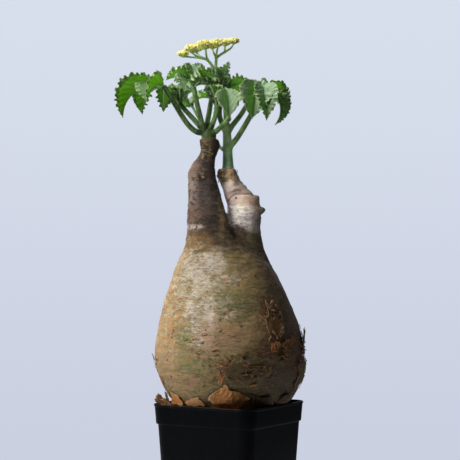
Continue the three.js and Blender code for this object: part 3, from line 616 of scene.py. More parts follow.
    # All over: fine mottling, dark pits, pale specks and a thin web of cracks.
    pits = spots(place, 4.2, 1, 0.09, 0.17) * step_up(clouds(place, 14, 1, 41), 0.42, 0.6)
    specks = spots(place, 2.6, 2, 0.1, 0.2) * step_up(clouds(place, 10, 1, 42), 0.5, 0.62)
    calm = 1 - 0.7 * neck
    base = paint(step_up(fine, 0.53, 0.64) * 0.26 * calm, base, "c5b595")
    base = paint(step_up(1 - fine, 0.54, 0.66) * 0.32 * calm, base, "453926")
    knots = spots(place, 11, 5, 0.06, 0.12)
    base = paint(knots * 0.8, base, "33261c")
    base = paint(specks * 0.55 * calm, base, "cdb997")
    base = paint(pits * 0.85, base, "2f241a")
    base.feed(shader, "Base Color")
    (0.5 + 0.22 * middle + 0.1 * grit).feed(shader, "Roughness")
    rise = 0.6 * streak + 0.35 * fine + 0.12 * grit - 0.4 * pits + 0.2 * specks - 0.25 * line + 0.3 * torn * blotch
    relief(rise, shader, 0.65)
    return material


def make_trunk():
    points, faces = merge([skin_of(TRUNK, 200, 1.6), skin_of(RIGHT_NECK, 110, 1.4)])
    trunk = build("trunk_and_necks", turned(points), faces, bark_skin())
    join = trunk.modifiers.new("join", "REMESH")
    join.mode, join.voxel_size = "VOXEL", VOXEL / 1000
    settle(trunk)
    mesh = trunk.data
    count = len(mesh.vertices)
    points = np.empty(count * 3)
    mesh.vertices.foreach_get("co", points)
    back = turned(np.eye(3)).T
    points = points.reshape(-1, 3) * 1000 @ back
    edges = np.empty(len(mesh.edges) * 2, int)
    mesh.edges.foreach_get("vertices", edges)
    edges = edges.reshape(-1, 2)

    def evened(values):
        """The mean of each vertex's neighbours."""
        total, number = np.zeros_like(values), np.zeros(count)
        for a, b in (edges.T, edges.T[::-1]):
            np.add.at(total, a, values[b])
            np.add.at(number, a, 1)
        return total / number.reshape(-1, *[1] * (values.ndim - 1))

    off_left, way_left = to_skin(TRUNK, points)
    off_right, way_right = to_skin(RIGHT_NECK, points)
    off_right[points[:, 2] < RIGHT_NECK[0, 0]] = FAR_OFF
    nearer = np.abs(off_right) < np.abs(off_left)
    crotch = np.exp(-(off_left**2 + off_right**2) / CREASE_REACH**2)
    flat_end = (points[:, 2] > TRUNK[-1, 0] - 0.8) | (points[:, 2] < TRUNK[0, 0] + 1)
    flat_end |= nearer & (points[:, 2] > RIGHT_NECK[-1, 0] - 0.6)
    move = np.where(nearer, off_right, off_left)
    way = np.where(nearer[:, None], way_right, way_left)
    keep = (1 - crotch) * ~flat_end * (np.abs(move) < MOST_MOVE)
    points[:, :2] += way * (move * keep)[:, None]
    for _ in range(CREASE_ROUNDS):
        points += (evened(points) - points) * np.clip(crotch * 1.6, 0, 0.9)[:, None]
    mesh.vertices.foreach_set("co", (turned(points) / 1000).ravel())
    mesh.update()
    normals = np.empty(count * 3)
    mesh.vertices.foreach_get("normal", normals)
    normals = normals.reshape(-1, 3) @ back
    points += normals * skin_marks(points)[:, None]
    mesh.vertices.foreach_set("co", (turned(points) / 1000).ravel())
    mesh.update()
    mesh.shade_smooth()
    add_to_part(trunk, "bark", "trunk")


make_trunk()

# Soil. A dark, gritty potting mix that fills the pot to a little under its rim, with loose crumbs and grit on top.

SOIL_Z = 84.0
SOIL_FOOT = 3.9
SOIL_CELLS = 96
SOIL_CLEAR = 0.3  # of the pot's wall
CRUMBS = 620
CRUMB_SIZES = (0.5, 0.6, 0.8, 0.9, 1.2, 1.6)
CRUMB_CLEAR = 1.6  # of the pot's wall
CRUMB_CORNER = 9.0  # radius of the corners that the crumbs keep out of


def potting_mix():
    material, shader, place = surface("potting_mix", Specular_IOR_Level=0.2)
    grain = clouds(place, 1.4, 1, 1, 5, 0.65)
    patchy = clouds(place, 7, 1, 2, 3)
    base = paint(step_up(grain, 0.4, 0.64), "241a12", "4d3b2b")
    base = paint(step_up(patchy, 0.5, 0.68) * 0.5, base, "5e4a36")
    base = paint(spots(place, 1.9, 1, 0.16, 0.3) * 0.6, base, "8b7558")
    base.feed(shader, "Base Color")
    (0.82 + 0.15 * grain).feed(shader, "Roughness")
    relief(grain, shader, 0.8)
    return material


def mark_of(place, name):
    """What a piece keeps at each of its points under a name."""
    return place.node("Attribute", {"attribute_name": name}, output="Fac")


def keep_marks(made, **marks):
    """Keeps a value at each point of a piece, for its material."""
    for name, values in marks.items():
        made.data.attributes.new(name, "FLOAT", "POINT").data.foreach_set("value", np.array(values, float))


def ramp(value, *stops):
    """The colour that stops, each a value and six hex digits, give."""
    return value.node("ValToRGB", {"stops": [(at, colour(code)) for at, code in stops]}, {0: value})


def crumb_grain():
    material, shader, place = surface("grit", Specular_IOR_Level=0.25)
    tone = mark_of(place, "tone")
    base = ramp(tone, (0, "1d1611"), (0.35, "3b2c20"), (0.62, "5d4733"), (0.84, "8a6f4f"), (1, "a79a86"))
    grain = clouds(place, 0.5, 1, 3, 4, 0.65)
    paint(step_up(grain, 0.5, 0.7) * 0.5, base, "2a2018").feed(shader, "Base Color")
    (0.75 + 0.2 * grain).feed(shader, "Roughness")
    relief(grain, shader, 0.3)
    return material


def make_soil():
    half = (band_side(SOIL_Z) - 2 * WALL) / 2 - SOIL_CLEAR
    corner = RIM_CORNER - 2.3
    t = np.linspace(-1, 1, SOIL_CELLS + 1)
    x, y = np.meshgrid(t, t, indexing="ij")
    reach = np.maximum(np.abs(x), np.abs(y)) * half
    # Each square of the net gets rounded corners, like the pot.
    inner = reach * (1 - corner / half)
    beyond = np.stack([np.abs(x) * half - inner, np.abs(y) * half - inner])
    length = np.maximum(np.hypot(*beyond), 1e-9)
    rounded = (beyond > 0).all(0)
    across, deep = (
        np.where(rounded, inner + past / length * (reach - inner), np.abs(side) * half) * np.sign(side)
        for side, past in zip((x, y), beyond)
    )
    flat = np.stack([across.ravel(), deep.ravel(), np.full(x.size, SOIL_Z)], axis=1)
    edge = np.clip((reach.ravel() / half - 0.93) / 0.07, 0, 1)
    flat[:, 2] += 0.6 * swells(flat, 9, 1) + 0.45 * swells(flat, 3, 2) + 0.3 * swells(flat, 1.5, 3) - 0.5 - 0.8 * edge
    grid = np.arange((SOIL_CELLS + 1) ** 2).reshape(SOIL_CELLS + 1, -1)
    faces = np.stack([grid[:-1, :-1], grid[1:, :-1], grid[1:, 1:], grid[:-1, 1:]], axis=-1).reshape(-1, 4).tolist()
    # The sides go down along the wall, under its ledge and to the floor.
    rim = [*grid[:, 0], *grid[-1, 1:], *grid[-2::-1, -1], *grid[0, -2:0:-1]]
    points, above = [flat], np.array(rim)
    for z, side in ((76.4, 2 * half - 1.4), (76.1, body_side(75) - 2.6), (SOIL_FOOT, body_side(SOIL_FOOT) - 2.6)):
        ring = flat[rim] * [side / (2 * half), side / (2 * half), 0] + [0, 0, z]
        below = np.arange(len(rim)) + sum(map(len, points))
        faces += np.stack([above, below, np.roll(below, -1), np.roll(above, -1)], axis=-1).tolist()
        points.append(ring)
        above = below
    faces.append(above[::-1].tolist())
    soil = build("potting_soil", np.vstack(points), faces, potting_mix())
    add_to_part(soil, "soil", "soil")


def make_crumbs():
    random.seed(7)
    pattern = bmesh.new()
    bmesh.ops.create_icosphere(pattern, subdivisions=2, radius=1)
    round_points = np.array([v.co for v in pattern.verts])
    round_faces = np.array([[v.index for v in face.verts] for face in pattern.faces])
    pattern.free()
    half = (band_side(SOIL_Z) - 2 * WALL) / 2 - CRUMB_CLEAR
    x0, y0, half_width, half_depth = station(TRUNK, SOIL_Z + 0.5)
    points, faces, tones = [], [], []
    while len(points) < CRUMBS:
        x, y = random.uniform(-half, half), random.uniform(-half, half)
        size = random.choice(CRUMB_SIZES)
        plant = turned([[1, 0, 0], [0, 1, 0]])[:, :2] @ np.array([x, y])
        out = math.hypot((plant[0] - x0) / (half_width + 1), (plant[1] - y0) / (half_depth + 1))
        corner = math.hypot(*(max(abs(side) - half + CRUMB_CORNER, 0) for side in (x, y)))
        tone = random.random()
        spin = Euler([random.uniform(0, 6.28) for _ in range(3)]).to_matrix()
        if out < 1.02 or corner > CRUMB_CORNER:
            continue  # it would lie in the trunk or in a corner of the pot
        rough = 1 + 0.22 * np.array([noise.noise(Vector(p) * 1.4 + Vector((len(points), 0, 0))) for p in round_points])
        shape = round_points * rough[:, None] * np.array([1, random.uniform(0.6, 1), random.uniform(0.45, 0.8)])
        shape = shape @ np.array(spin) * size + [x, y, SOIL_Z - 0.5 + 0.35 * size]
        faces += (round_faces + len(points) * len(round_points)).tolist()
        points.append(shape)
        tones += [tone] * len(round_points)
    crumbs = build("soil_crumbs", np.vstack(points), faces, crumb_grain(), crease=50)
    keep_marks(crumbs, tone=tones)
    add_to_part(crumbs, "soil")


make_soil()
make_crumbs()

# Shoots. The soft green growth on each neck: a short stem, thick and jointed on the right one, with the swollen
# foot of each leaf stalk growing out of it.

STUB = 9.0  # of each leaf stalk that belongs to its shoot
FOOT_FLARE = 0.7  # how much wider each stalk's foot is
STALK_RADII = (2.3, 1.8)
LEFT_STEM = [(-15.6, -7, 291), (-15.6, -7, 295), (-15.6, -7, 299)]
RIGHT_STEM = [(-0.9, 6, 269.3), (-1.1, 5.9, 277), (-1.4, 5.7, 286), (-1.8, 5.4, 299), (-2.4, 3.4, 308)]
NODE_Z = 285.0  # of the joint on the right stem

# The leaves: each one's stalk, and its leaflets as (turn, rise, droop, length, half width, roll). A leaflet points
# turn degrees round from the right, its base rises and its tip droops by the angles given, and it leans by its roll.
LEAVES = {
    "left_leaf_1": (
        [(-16.5, -7.5, 296.2), (-24.5, -8.5, 296.8), (-30.3, -9.4, 301), (-43.9, -11.2, 321.7), (-49.2, -12, 330.7)],
        [(184, 16, -93, 45, 15.5, 20), (236, 18, -80, 28, 13.5, 25), (138, 8, -92, 34, 12, 8),
         (95, -5, -90, 26, 9, 15)],
    ),
    "left_leaf_2": (
        [(-16.8, -5, 295.5), (-22, -2.5, 301), (-30, 5, 310), (-38, 12, 319)],
        [(200, 70, 20, 17, 8, 0), (110, 75, 10, 19, 9, 0), (330, 66, 0, 17, 8, 0)],
    ),
    "left_leaf_3": (
        [(-16.5, -8.5, 294.5), (-19.6, -9, 299.5), (-23.8, -7, 315), (-27.2, -4, 330)],
        [(186, 62, -35, 24, 12, 0), (100, 78, 30, 23, 10, 0), (345, 60, -25, 22, 11, 0), (250, 44, -74, 22, 11, 0)],
    ),
    "left_leaf_4": (
        [(-16, -6, 295), (-17, -4.5, 301), (-15.4, 3, 313), (-13, 13, 329)],
        [(170, 58, -14, 20, 11, 0), (100, 58, -20, 22, 9, 0)],
    ),
    "left_leaf_5": (
        [(-15.5, -7.5, 295), (-14.2, -8, 299), (-11, -8.5, 308), (-9.7, -8, 314.5)],
        [(250, 70, 30, 20, 10, 0), (150, 70, 30, 18, 8, 0)],
    ),
    "left_leaf_6": (
        [(-15.5, -8, 295.6), (-11.5, -11, 296.2), (-6.5, -17.5, 300), (-0.5, -26, 305.5)],
        [(100, 76, 56, 25, 12, 0), (62, 62, 34, 25, 12.5, 0)],
    ),
    "right_leaf_1": (
        [(-2, 5.6, 296), (-5, 6.5, 302.5), (-7.6, 8, 311), (-5.5, 10, 327)],
        [(135, 76, 66, 22, 9, 0), (50, 80, 64, 26, 7, 0), (0, 46, -14, 23, 11, 0)],
    ),
    "right_leaf_2": (
        [(-1.8, 5.2, 295.5), (2, 5.8, 302), (8.5, 8, 310.5), (16, 12, 323)],
        [(104, 60, 0, 22, 9.5, 0), (34, 64, -10, 22, 9, 0)],
    ),
    "right_leaf_3": (
        [(-1.4, 5.6, 285), (3.5, 4, 289.5), (14.7, -1, 306.8), (21, -4.5, 319), (24.5, -6, 330.5)],
        [(252, -6, -92, 36, 15.5, -25), (278, 5, -102, 41, 11, 0), (338, -8, -135, 37, 9, 0),
         (50, 20, -84, 26, 10.5, 0)],
    ),
    "right_leaf_4": (
        [(-1.2, 6.2, 281.5), (-5.5, 9, 284.5), (-13, 17, 293.6), (-23, 29, 308), (-30, 39, 321)],
        [(190, 34, -50, 24, 10, 0), (105, 34, -60, 28, 11, 0), (30, 50, -30, 20, 8.5, 0)],
    ),
    "right_leaf_5": (
        [(-1.4, 6, 285.5), (4, 10, 290.5), (12.2, 22, 303.9), (19, 31, 317), (22, 36, 328)],
        [(20, 24, -60, 30, 11, 0), (100, 24, -60, 34, 12, 0), (162, 40, -50, 23, 9.5, 0)],
    ),
}
THIN_STALKS = {"right_leaf_4": (1.2, 1.0)}


def along_curve(points, shares):
    """Places, headings and length of the smooth curve through some points, at shares of its length."""
    p = np.asarray(points, float)
    p = np.vstack([2 * p[0] - p[1], p, 2 * p[-1] - p[-2]])
    dense = []
    for i in range(1, len(p) - 2):
        gaps = [max(np.linalg.norm(p[j + 1] - p[j]) ** 0.5, 1e-6) for j in (i - 1, i, i + 1)]
        moves = [p[j + 1] - p[j] for j in (i - 1, i, i + 1)]
        first = (moves[0] / gaps[0] - (p[i + 1] - p[i - 1]) / (gaps[0] + gaps[1]) + moves[1] / gaps[1]) * gaps[1]
        last = (moves[1] / gaps[1] - (p[i + 2] - p[i]) / (gaps[1] + gaps[2]) + moves[2] / gaps[2]) * gaps[1]
        t = np.linspace(0, 1, 60, endpoint=i == len(p) - 3)[:, None]
        dense.append(p[i] + first * t + (3 * moves[1] - 2 * first - last) * t**2 + (first + last - 2 * moves[1]) * t**3)
    dense = np.vstack(dense)
    run = np.concatenate([[0], np.cumsum(np.linalg.norm(np.diff(dense, axis=0), axis=1))])
    at = np.asarray(shares, float) * run[-1]
    places = np.stack([np.interp(at, run, dense[:, k]) for k in range(3)], axis=1)
    headings = np.stack([np.interp(at, run, np.gradient(dense[:, k], run)) for k in range(3)], axis=1)
    return places, headings / np.linalg.norm(headings, axis=1)[:, None], run[-1]


def stem_tube(points, radius, start=0.0, end=1.0, sides=18, step=0.9, channel=0.0, out=(0, 1, 0)):
    """A closed round tube on the curve through some points. radius(share, millimetres from the end) is its radius,
    and channel how deep the groove along its upper side is, as a share of the radius."""
    length = along_curve(points, [0])[2]
    shares = np.linspace(start, end, max(4, round((end - start) * length / step) + 1))
    places, headings, _ = along_curve(points, shares)
    turns = np.linspace(0, 2 * math.pi, sides, endpoint=False)
    rings, out = [], np.array(out, float)
    for share, place, heading in zip(shares, places, headings):
        out = out - heading * (out @ heading)
        out /= np.linalg.norm(out)
        over = np.cross(heading, out)
        size = radius(share, (1 - share) * length) * (1 - channel * np.exp(-((turns - math.pi / 2) ** 2) / 0.12))
        rings.append(place + size[:, None] * (np.cos(turns)[:, None] * out + np.sin(turns)[:, None] * over))
    return loft(rings)


def fresh_green(name, pale, deep, dark, bloom, powder_and_light_on_top=0.0, foot=0.0):
    """Waxy green skin: a deep and a pale green with lengthwise streaks, dark flecks and a whitish bloom, with more of
    it near the top as far as powder_and_light_on_top says, partly wax and partly painted light. It is olive and corky
    just over the height foot, and over that painted shade darkens it, fading out 15 millimetres above the foot."""
    material, shader, place = surface(name, turn=PLANT_TURN, Specular_IOR_Level=0.45)
    shader.inputs["Subsurface Weight"].default_value = 0.12
    shader.inputs["Subsurface Radius"].default_value = (0.4, 1, 0.2)
    shader.inputs["Subsurface Scale"].default_value = 0.002
    patchy = clouds(place, 5, 0.35, 1, 4)
    streak = clouds(place, 0.7, 0.12, 2, 3)
    fleck = spots(place, 1.7, 3, 0.12, 0.24)
    base = paint(step_up(patchy, 0.38, 0.62), deep, pale)
    base = paint(step_up(streak, 0.5, 0.7) * 0.4, base, bloom)
    base = paint(step_up(clouds(place, 2.2, 1, 4, 4), 0.52, 0.66) * 0.4, base, bloom)
    height = along(place, "Z")
    # More bloom near the top: partly whitish wax, partly painted light.
    base = paint(step_up(height + 4 * (patchy - 0.5), 285, 292) * powder_and_light_on_top, base, bloom)
    # Painted shade, darkest near the stem's foot and gone 15 millimetres above it.
    base = paint(step_up(foot + 15 - height, 0, 8) * 0.8, base, dark)
    base = paint(step_up(foot + 3 - height + 6 * (patchy - 0.5), 0, 3) * 0.45, base, "8c8346")
    paint(fleck * 0.45, base, dark).feed(shader, "Base Color")
    (0.42 + 0.2 * patchy).feed(shader, "Roughness")
    relief(streak * 0.6 + fleck * 0.4, shader, 0.16)
    return material


def stub_radius(radii, flare, reach=0.045):
    """The radius of a stalk that widens into its foot, by flare over a share reach of its length."""
    return lambda share, to_end: radii[0] + (radii[1] - radii[0]) * share + flare * math.exp(-share / reach)


def left_stem_radius(share, to_end):
    """A short thick stem, rounded off at its top."""
    swell = 0.4 * math.sin(math.pi * min(share * 1.25, 1))
    return 5.5 - 0.6 * share + swell - 6 * max(share - 0.55, 0) ** 2


def right_stem_radius(share, to_end):
    """A stem that thins upwards, with a ring at its joint and a faint one where the upper leaves part."""
    height = 269.3 + share * 38.7
    joint = 0.75 * math.exp(-(((height - NODE_Z) / 1.3) ** 2)) + 0.4 * math.exp(-(((height - 299) / 2) ** 2))
    return np.interp(share, [0, 0.06, 0.25, 0.5, 0.75, 1], [4.7, 4.25, 3.8, 3.5, 3.1, 1.9]) + joint


def make_shoots():
    left_green = fresh_green("young_stem_left", "4c722c", "34541a", "283c12", "8ea86c", foot=291)
    right_green = fresh_green("young_stem_right", "628642", "436c28", "33481c", "a3bd88", powder_and_light_on_top=0.45, foot=269)
    for side, stem, radius, skin in (
        ("left", LEFT_STEM, left_stem_radius, left_green), ("right", RIGHT_STEM, right_stem_radius, right_green),
    ):
        parts = [stem_tube(stem, radius, sides=36, step=0.5)]
        for name, (stalk, _) in LEAVES.items():
            if name.startswith(side):
                radii = THIN_STALKS.get(name, STALK_RADII)
                length = along_curve(stalk, [0])[2]
                parts.append(stem_tube(stalk, stub_radius(radii, FOOT_FLARE), 0, STUB / length, 20, 0.5))
        points, faces = merge(parts)
        shoot = build(f"{side}_shoot_stem", turned(points), faces, skin)
        add_to_part(shoot, "stem", f"{side}_shoot")


make_shoots()

# Leaves. Each is a long round stalk with two to four leaflets at its tip: thick waxy blades, folded up along the
# midrib, arched down to a sharp point, with forward teeth and tightly crisped edges.

BLADE_THICK = 0.62
BLADE_ROOT = 1.6  # from the hub's middle to where a leaflet starts
FOLD = 54  # degrees, how far each half of a leaflet is folded up
RUFFLE = 0.1  # of the half width, the edge's slow waves
RUFFLE_STEP = 4.4  # millimetres between a crest and a trough
CRISP = 2.4  # millimetres, the edge's tight frills
CRISP_GAP = 2.8  # from frill to frill
TOOTH_GAP = 1.9
TOOTH = 0.4  # millimetres
VEIN_GAP = 4.6  # along the midrib
VEIN_SLANT = 0.75  # how far a side vein runs forward for each millimetre outwards
# How strongly a leaf's edges are frilled, on its first leaflet and on the others, where it isn't 1: the older,
# drooping leaves are smoother.
FRILLS = {
    "left_leaf_1": (0.8, 0.5), "left_leaf_6": (0.4, 0.4), "right_leaf_1": (0.8, 0.8), "right_leaf_2": (0.5, 0.7),
    "right_leaf_3": (0.3, 0.35),
}
# Young leaflets, small and tightly curled, between the others.
YOUNG = {
    "left_leaf_2": [(270, 72, 10, 17, 8, 0), (190, 50, -20, 13, 7, 0)], "left_leaf_3": [(318, 62, -50, 14, 7, 0)],
    "left_leaf_4": [(205, 62, -40, 15, 7.5, 0), (290, 66, -20, 13, 7, 0)], "left_leaf_5": [(330, 64, 0, 13, 7, 0)],
    "right_leaf_1": [(232, 56, -30, 14, 7, 0)], "right_leaf_2": [(262, 60, -20, 13, 7, 0)],
}
# Where along a tooth its points lie, and how far each stands out.
TOOTH_PHASES = ((0.0, 0.0), (0.25, 0.22), (0.5, 0.5), (0.72, 0.8), (0.88, 1.0))
BLADE_COLUMNS = 14  # in each half
HUB_RADIUS = 2.1


def mix_in(material, shader, share, other):
    """Another shader mixed into a material's own as far as share says."""
    own = Shade(material.node_tree, shader.outputs["BSDF"])
    mixed = share.node("MixShader", None, {0: share, 1: own, 2: other})
    mixed.feed(material.node_tree.nodes["Material Output"], "Surface")


def leaf_skin():
    material, shader, place = surface("waxy_leaf", turn=PLANT_TURN, Specular_IOR_Level=0.4)
    run = mark_of(place, "run")
    out = mark_of(place, "out")
    edge = mark_of(place, "edge")
    side = mark_of(place, "upper")
    wander = clouds(place, 6, 1, 5, 2) - 0.5
    rib = 1 - step_up(out, 0.25, 0.75)
    beat = (run - VEIN_SLANT * out + 1.6 * wander) / VEIN_GAP
    fromvein = abs(beat.sum_with("FRACT", beat) - 0.5)
    vein = (1 - step_up(fromvein, 0.0, 0.085)) * (1 - step_up(edge, 0.7, 0.95))
    net = place.node("TexVoronoi", {"feature": "DISTANCE_TO_EDGE"}, {"Vector": place, "Scale": 0.85}, output="Distance")
    mesh_vein = 1 - step_up(net, 0.02, 0.12)
    patchy = clouds(place, 7, 1, 1, 4)
    fine = clouds(place, 1.3, 1, 2, 4, 0.6)
    bloom = step_up(clouds(place, 4.5, 1, 3, 5, 0.6), 0.3, 0.66)
    green = paint(step_up(patchy, 0.36, 0.64), "3f6a18", "557f2e")
    across = along(place, "X")
    # Pale bloom, partly real wax and partly painted light: mostly on upper faces, little on the far-left leaflets.
    powder_and_painted_light = side * (1 - 0.85 * step_up(-1 * across, 46, 54))
    waxed = paint(0.1 * bloom + (0.32 + 0.3 * bloom) * powder_and_painted_light, green, "aec3a9")
    waxed = paint(step_up(fine, 0.5, 0.68) * (0.06 + 0.2 * powder_and_painted_light), waxed, "d3ded2")
    # Paler crisped edges: partly the bloom that the curls turn out, partly a painted highlight on them.
    curled = edge + 0.16 * (patchy - 0.5) + 0.1 * (fine - 0.5)
    waxed = paint(step_up(curled, 0.72, 0.9) * 0.55, waxed, "a9c294")
    waxed = paint(step_up(edge, 0.9, 0.98) * 0.6, waxed, "cfdfb2")
    waxed = paint(mesh_vein * 0.12, waxed, "3f7230")
    waxed = paint(vein * 0.25, waxed, "d2e3c4")
    waxed = paint(rib * 0.6, waxed, "d6e6c4")
    waxed = paint(step_up(edge, 0.975, 1.0) * 0.3, waxed, "76803a")
    waxed.feed(shader, "Base Color")
    (0.46 + 0.2 * bloom - 0.06 * patchy).feed(shader, "Roughness")
    bulges = place.node("TexNoise", None, {"Vector": place, "Scale": 0.5, "Detail": 3})
    relief(bulges * 0.5 + fine * 0.25 - vein * 0.35 * side + vein * 0.35 * (1 - side) - mesh_vein * 0.08, shader, 0.3)
    lit = place.node("BsdfTranslucent", None, {"Color": colour("c3fb5c")})
    mix_in(material, shader, 0.34 + 0.08 * patchy - 0.14 * vein - 0.16 * rib - 0.22 * step_up(curled, 0.7, 0.86), lit)
    return material


def blade_width(u, half_width):
    """Half a leaflet's width at a share of its length."""
    return half_width * np.sin(math.pi * np.clip(u, 0, 1) ** 0.92) ** 1.3 + 0.8 - 0.6 * u


def slab(upper, lower):
    """Points and faces of a closed sheet between two grids of points."""
    rows, columns, _ = upper.shape
    top = np.arange(rows * columns).reshape(rows, columns)
    low = top + rows * columns
    quads = [
        np.stack([top[:-1, :-1], top[:-1, 1:], top[1:, 1:], top[1:, :-1]], -1),
        np.stack([low[:-1, :-1], low[1:, :-1], low[1:, 1:], low[:-1, 1:]], -1),
        np.stack([low[:-1, -1], low[1:, -1], top[1:, -1], top[:-1, -1]], -1),
        np.stack([low[1:, 0], low[:-1, 0], top[:-1, 0], top[1:, 0]], -1),
        np.stack([low[-1, :-1], top[-1, :-1], top[-1, 1:], low[-1, 1:]], -1),
        np.stack([low[0, 1:], top[0, 1:], top[0, :-1], low[0, :-1]], -1),
    ]
    faces = np.vstack([quad.reshape(-1, 4) for quad in quads])
    return np.vstack([upper.reshape(-1, 3), lower.reshape(-1, 3)]), faces.tolist()


def leaflet(hub, shape, number, seed, crisp):
    """Points, faces and the attributes run, out, edge and upper of a leaflet's closed blade."""
    turn, rise, droop, length, half_width, roll = shape
    heading, start, bend = math.radians(turn), math.radians(rise), math.radians(droop - rise)
    forward = np.array([math.cos(heading), math.sin(heading), 0])
    rightward = np.array([math.sin(heading), -math.cos(heading), 0])
    upward = np.array([0, 0, 1.0])
    # The midrib, an arc from the hub that bends down, with the way along it, to the side and up from the blade.
    teeth = round(length / TOOTH_GAP)
    u = np.array([(tooth + phase) / teeth for tooth in range(teeth) for phase, _ in TOOTH_PHASES] + [1.0])
    stand = np.array([high for _ in range(teeth) for _, high in TOOTH_PHASES] + [0.0])
    tilt = start + bend * u
    ahead = BLADE_ROOT * math.cos(start) + length * (np.sin(tilt) - math.sin(start)) / bend
    above = BLADE_ROOT * math.sin(start) + length * (math.cos(start) - np.cos(tilt)) / bend
    rib = np.array(hub) + ahead[:, None] * forward + above[:, None] * upward
    ribward = np.cos(tilt)[:, None] * forward + np.sin(tilt)[:, None] * upward
    lean = math.radians(roll)
    side = math.cos(lean) * rightward + math.sin(lean) * np.cross(ribward, rightward)
    up = np.cross(side, ribward)
    # The two halves, folded up along the midrib, from -1 at the left edge to 1 at the right one.
    t = np.linspace(0, 1, BLADE_COLUMNS + 1)
    c = 1 - (1 - t) ** 1.25
    c = np.concatenate([-c[:0:-1], c])[None, :, None]
    size = np.abs(c)
    fold = np.radians(FOLD * (1 - 0.3 * size)) * np.sign(c)
    out = side[:, None] * np.cos(fold) + up[:, None] * np.sin(fold)
    over = up[:, None] * np.cos(fold) - side[:, None] * np.sin(fold)
    width = blade_width(u, half_width)[:, None, None]
    # Teeth, slow waves, tight frills and the quilting between the veins, all fading at the root and the tip.
    envelope = np.clip(np.sin(math.pi * u) * 1.7, 0, 1)[:, None, None]
    bite = TOOTH * (stand[:, None, None] - 0.35) * envelope * size**5
    run = (u * length)[:, None, None]
    steps = round(length / RUFFLE_STEP)
    place = u[:, None, None] * steps
    phase = 1.1 + number
    slow = -RUFFLE * width * size**3 * np.cos(math.pi * place) * np.cos(1.5 * place * c + phase)
    jitter = np.array([[noise.noise(Vector((3 * x, 9.1 * seed + k, 2.2))) for k in (0, 5)] for x in u * length / 9])
    jitter = np.where(c < 0, jitter[:, :1, None], jitter[:, 1:, None])
    beat = 2 * math.pi * run / CRISP_GAP + 2.4 * jitter + 1.7 * seed + np.where(c < 0, 1.3, 0)
    frill = np.clip((size - 0.64) / 0.34, 0, 1) * crisp * envelope * (0.7 + 1.2 * np.abs(jitter))
    wave = np.sin(beat)
    quilt = np.sin(2 * math.pi * (run - VEIN_SLANT * width * size) / VEIN_GAP)
    quilt = 0.16 * quilt * np.sin(math.pi * size) * envelope
    skin = (
        rib[:, None] + out * (width * c + np.sign(c) * (bite - 0.7 * frill * wave**2))
        + over * (slow + CRISP * frill * wave + quilt)
        + ribward[:, None] * (0.5 * bite - 0.42 * frill * np.sin(2 * beat) + 0.16 * width * size**2)
    )
    thick = BLADE_THICK * (0.5 - 0.2 * size) * np.clip(width / 2, 0.5, 1)
    keel = 0.85 * np.exp(-((size * width / 0.75) ** 2)) * (1 - 0.75 * u[:, None, None])
    points, faces = slab(skin + over * thick, skin - over * (thick + keel))
    marks = np.stack([np.broadcast_to(v, (*skin.shape[:2], 1)).ravel() for v in (run, width * size, size)], 1)
    marks = np.hstack([np.vstack([marks, marks]), np.repeat([[1.0], [0.0]], len(marks), axis=0)])
    return points, faces, marks


def ball(centre, radii, sides=20, rings=12):
    """A round body with its poles up and down."""
    tilts = np.linspace(-math.pi / 2, math.pi / 2, rings + 2)[1:-1]
    turns = np.linspace(0, 2 * math.pi, sides, endpoint=False)
    shape = [[(math.cos(v) * math.cos(w), math.cos(v) * math.sin(w), math.sin(v)) for w in turns] for v in tilts]
    points, faces = loft(shape)
    points[-2:] = [(0, 0, -1), (0, 0, 1)]
    return points * radii + centre, faces


def stalk_radius(radii):
    """A leaf stalk's radius: it thins upwards and swells a little under the hub."""
    return lambda share, to_end: radii[0] + (radii[1] - radii[0]) * share + 0.3 * math.exp(-to_end / 2.5)


def make_leaves():
    blade = leaf_skin()
    stalk_green = fresh_green("leaf_stalk", "789c5a", "4a6e34", "2f4420", "a4bd88")
    for order, (name, (stalk, leaflets)) in enumerate(LEAVES.items()):
        radii = THIN_STALKS.get(name, STALK_RADII)
        length = along_curve(stalk, [0])[2]
        parts = [
            stem_tube(stalk, stalk_radius(radii), (STUB - 0.8) / length, 1, 20, 0.9, 0.12),
            ball(np.array(stalk[-1]), (HUB_RADIUS, HUB_RADIUS, HUB_RADIUS * 0.9)),
        ]
        points, faces = merge(parts)
        green_faces = len(faces)
        marks = [np.tile([0.0, 9, 0, 0], (len(points), 1))]
        for number, shape in enumerate(leaflets + YOUNG.get(name, [])):
            crisp = FRILLS.get(name, (1, 1))[min(number, 1)]
            blade_points, blade_faces, blade_marks = leaflet(stalk[-1], shape, number, 10 * order + number, crisp)
            points, faces = merge([(points, faces), (blade_points, blade_faces)])
            marks.append(blade_marks)
        leaf = build(name + "_blades", turned(points), faces, stalk_green)
        leaf.data.materials.append(blade)
        slots = np.ones(len(faces), int)
        slots[:green_faces] = 0
        leaf.data.polygons.foreach_set("material_index", slots)
        run, out, edge, upper = np.vstack(marks).T
        keep_marks(leaf, run=run, out=out, edge=edge, upper=upper)
        add_to_part(leaf, "leaf", name)


make_leaves()

# Flower head. A thin green stalk from the right shoot's tip that forks into twigs, each with a flat cluster of
# small yellow buds on short stalks of their own.

FORK, LEFT_FORK, RIGHT_FORK, FAR_FORK = (-10.4, 0, 343), (-17, -1, 352.8), (-9.9, 0.5, 354.2), (-3.4, 1, 358.6)
# Each twig's course and its radii at its foot and its end.
TWIGS = [
    ([(-2.4, 3.3, 307.6), (-3.2, 2, 316), (-5.8, 1.2, 328), FORK], (1.9, 1.4)),
    ([FORK, (-13.6, -0.5, 348.6), LEFT_FORK], (1.3, 1.1)),
    ([FORK, (-10.2, 0.2, 349), RIGHT_FORK], (1.3, 1.1)),
    ([RIGHT_FORK, (-6.6, 0.8, 356.6), FAR_FORK], (1.1, 0.9)),
]
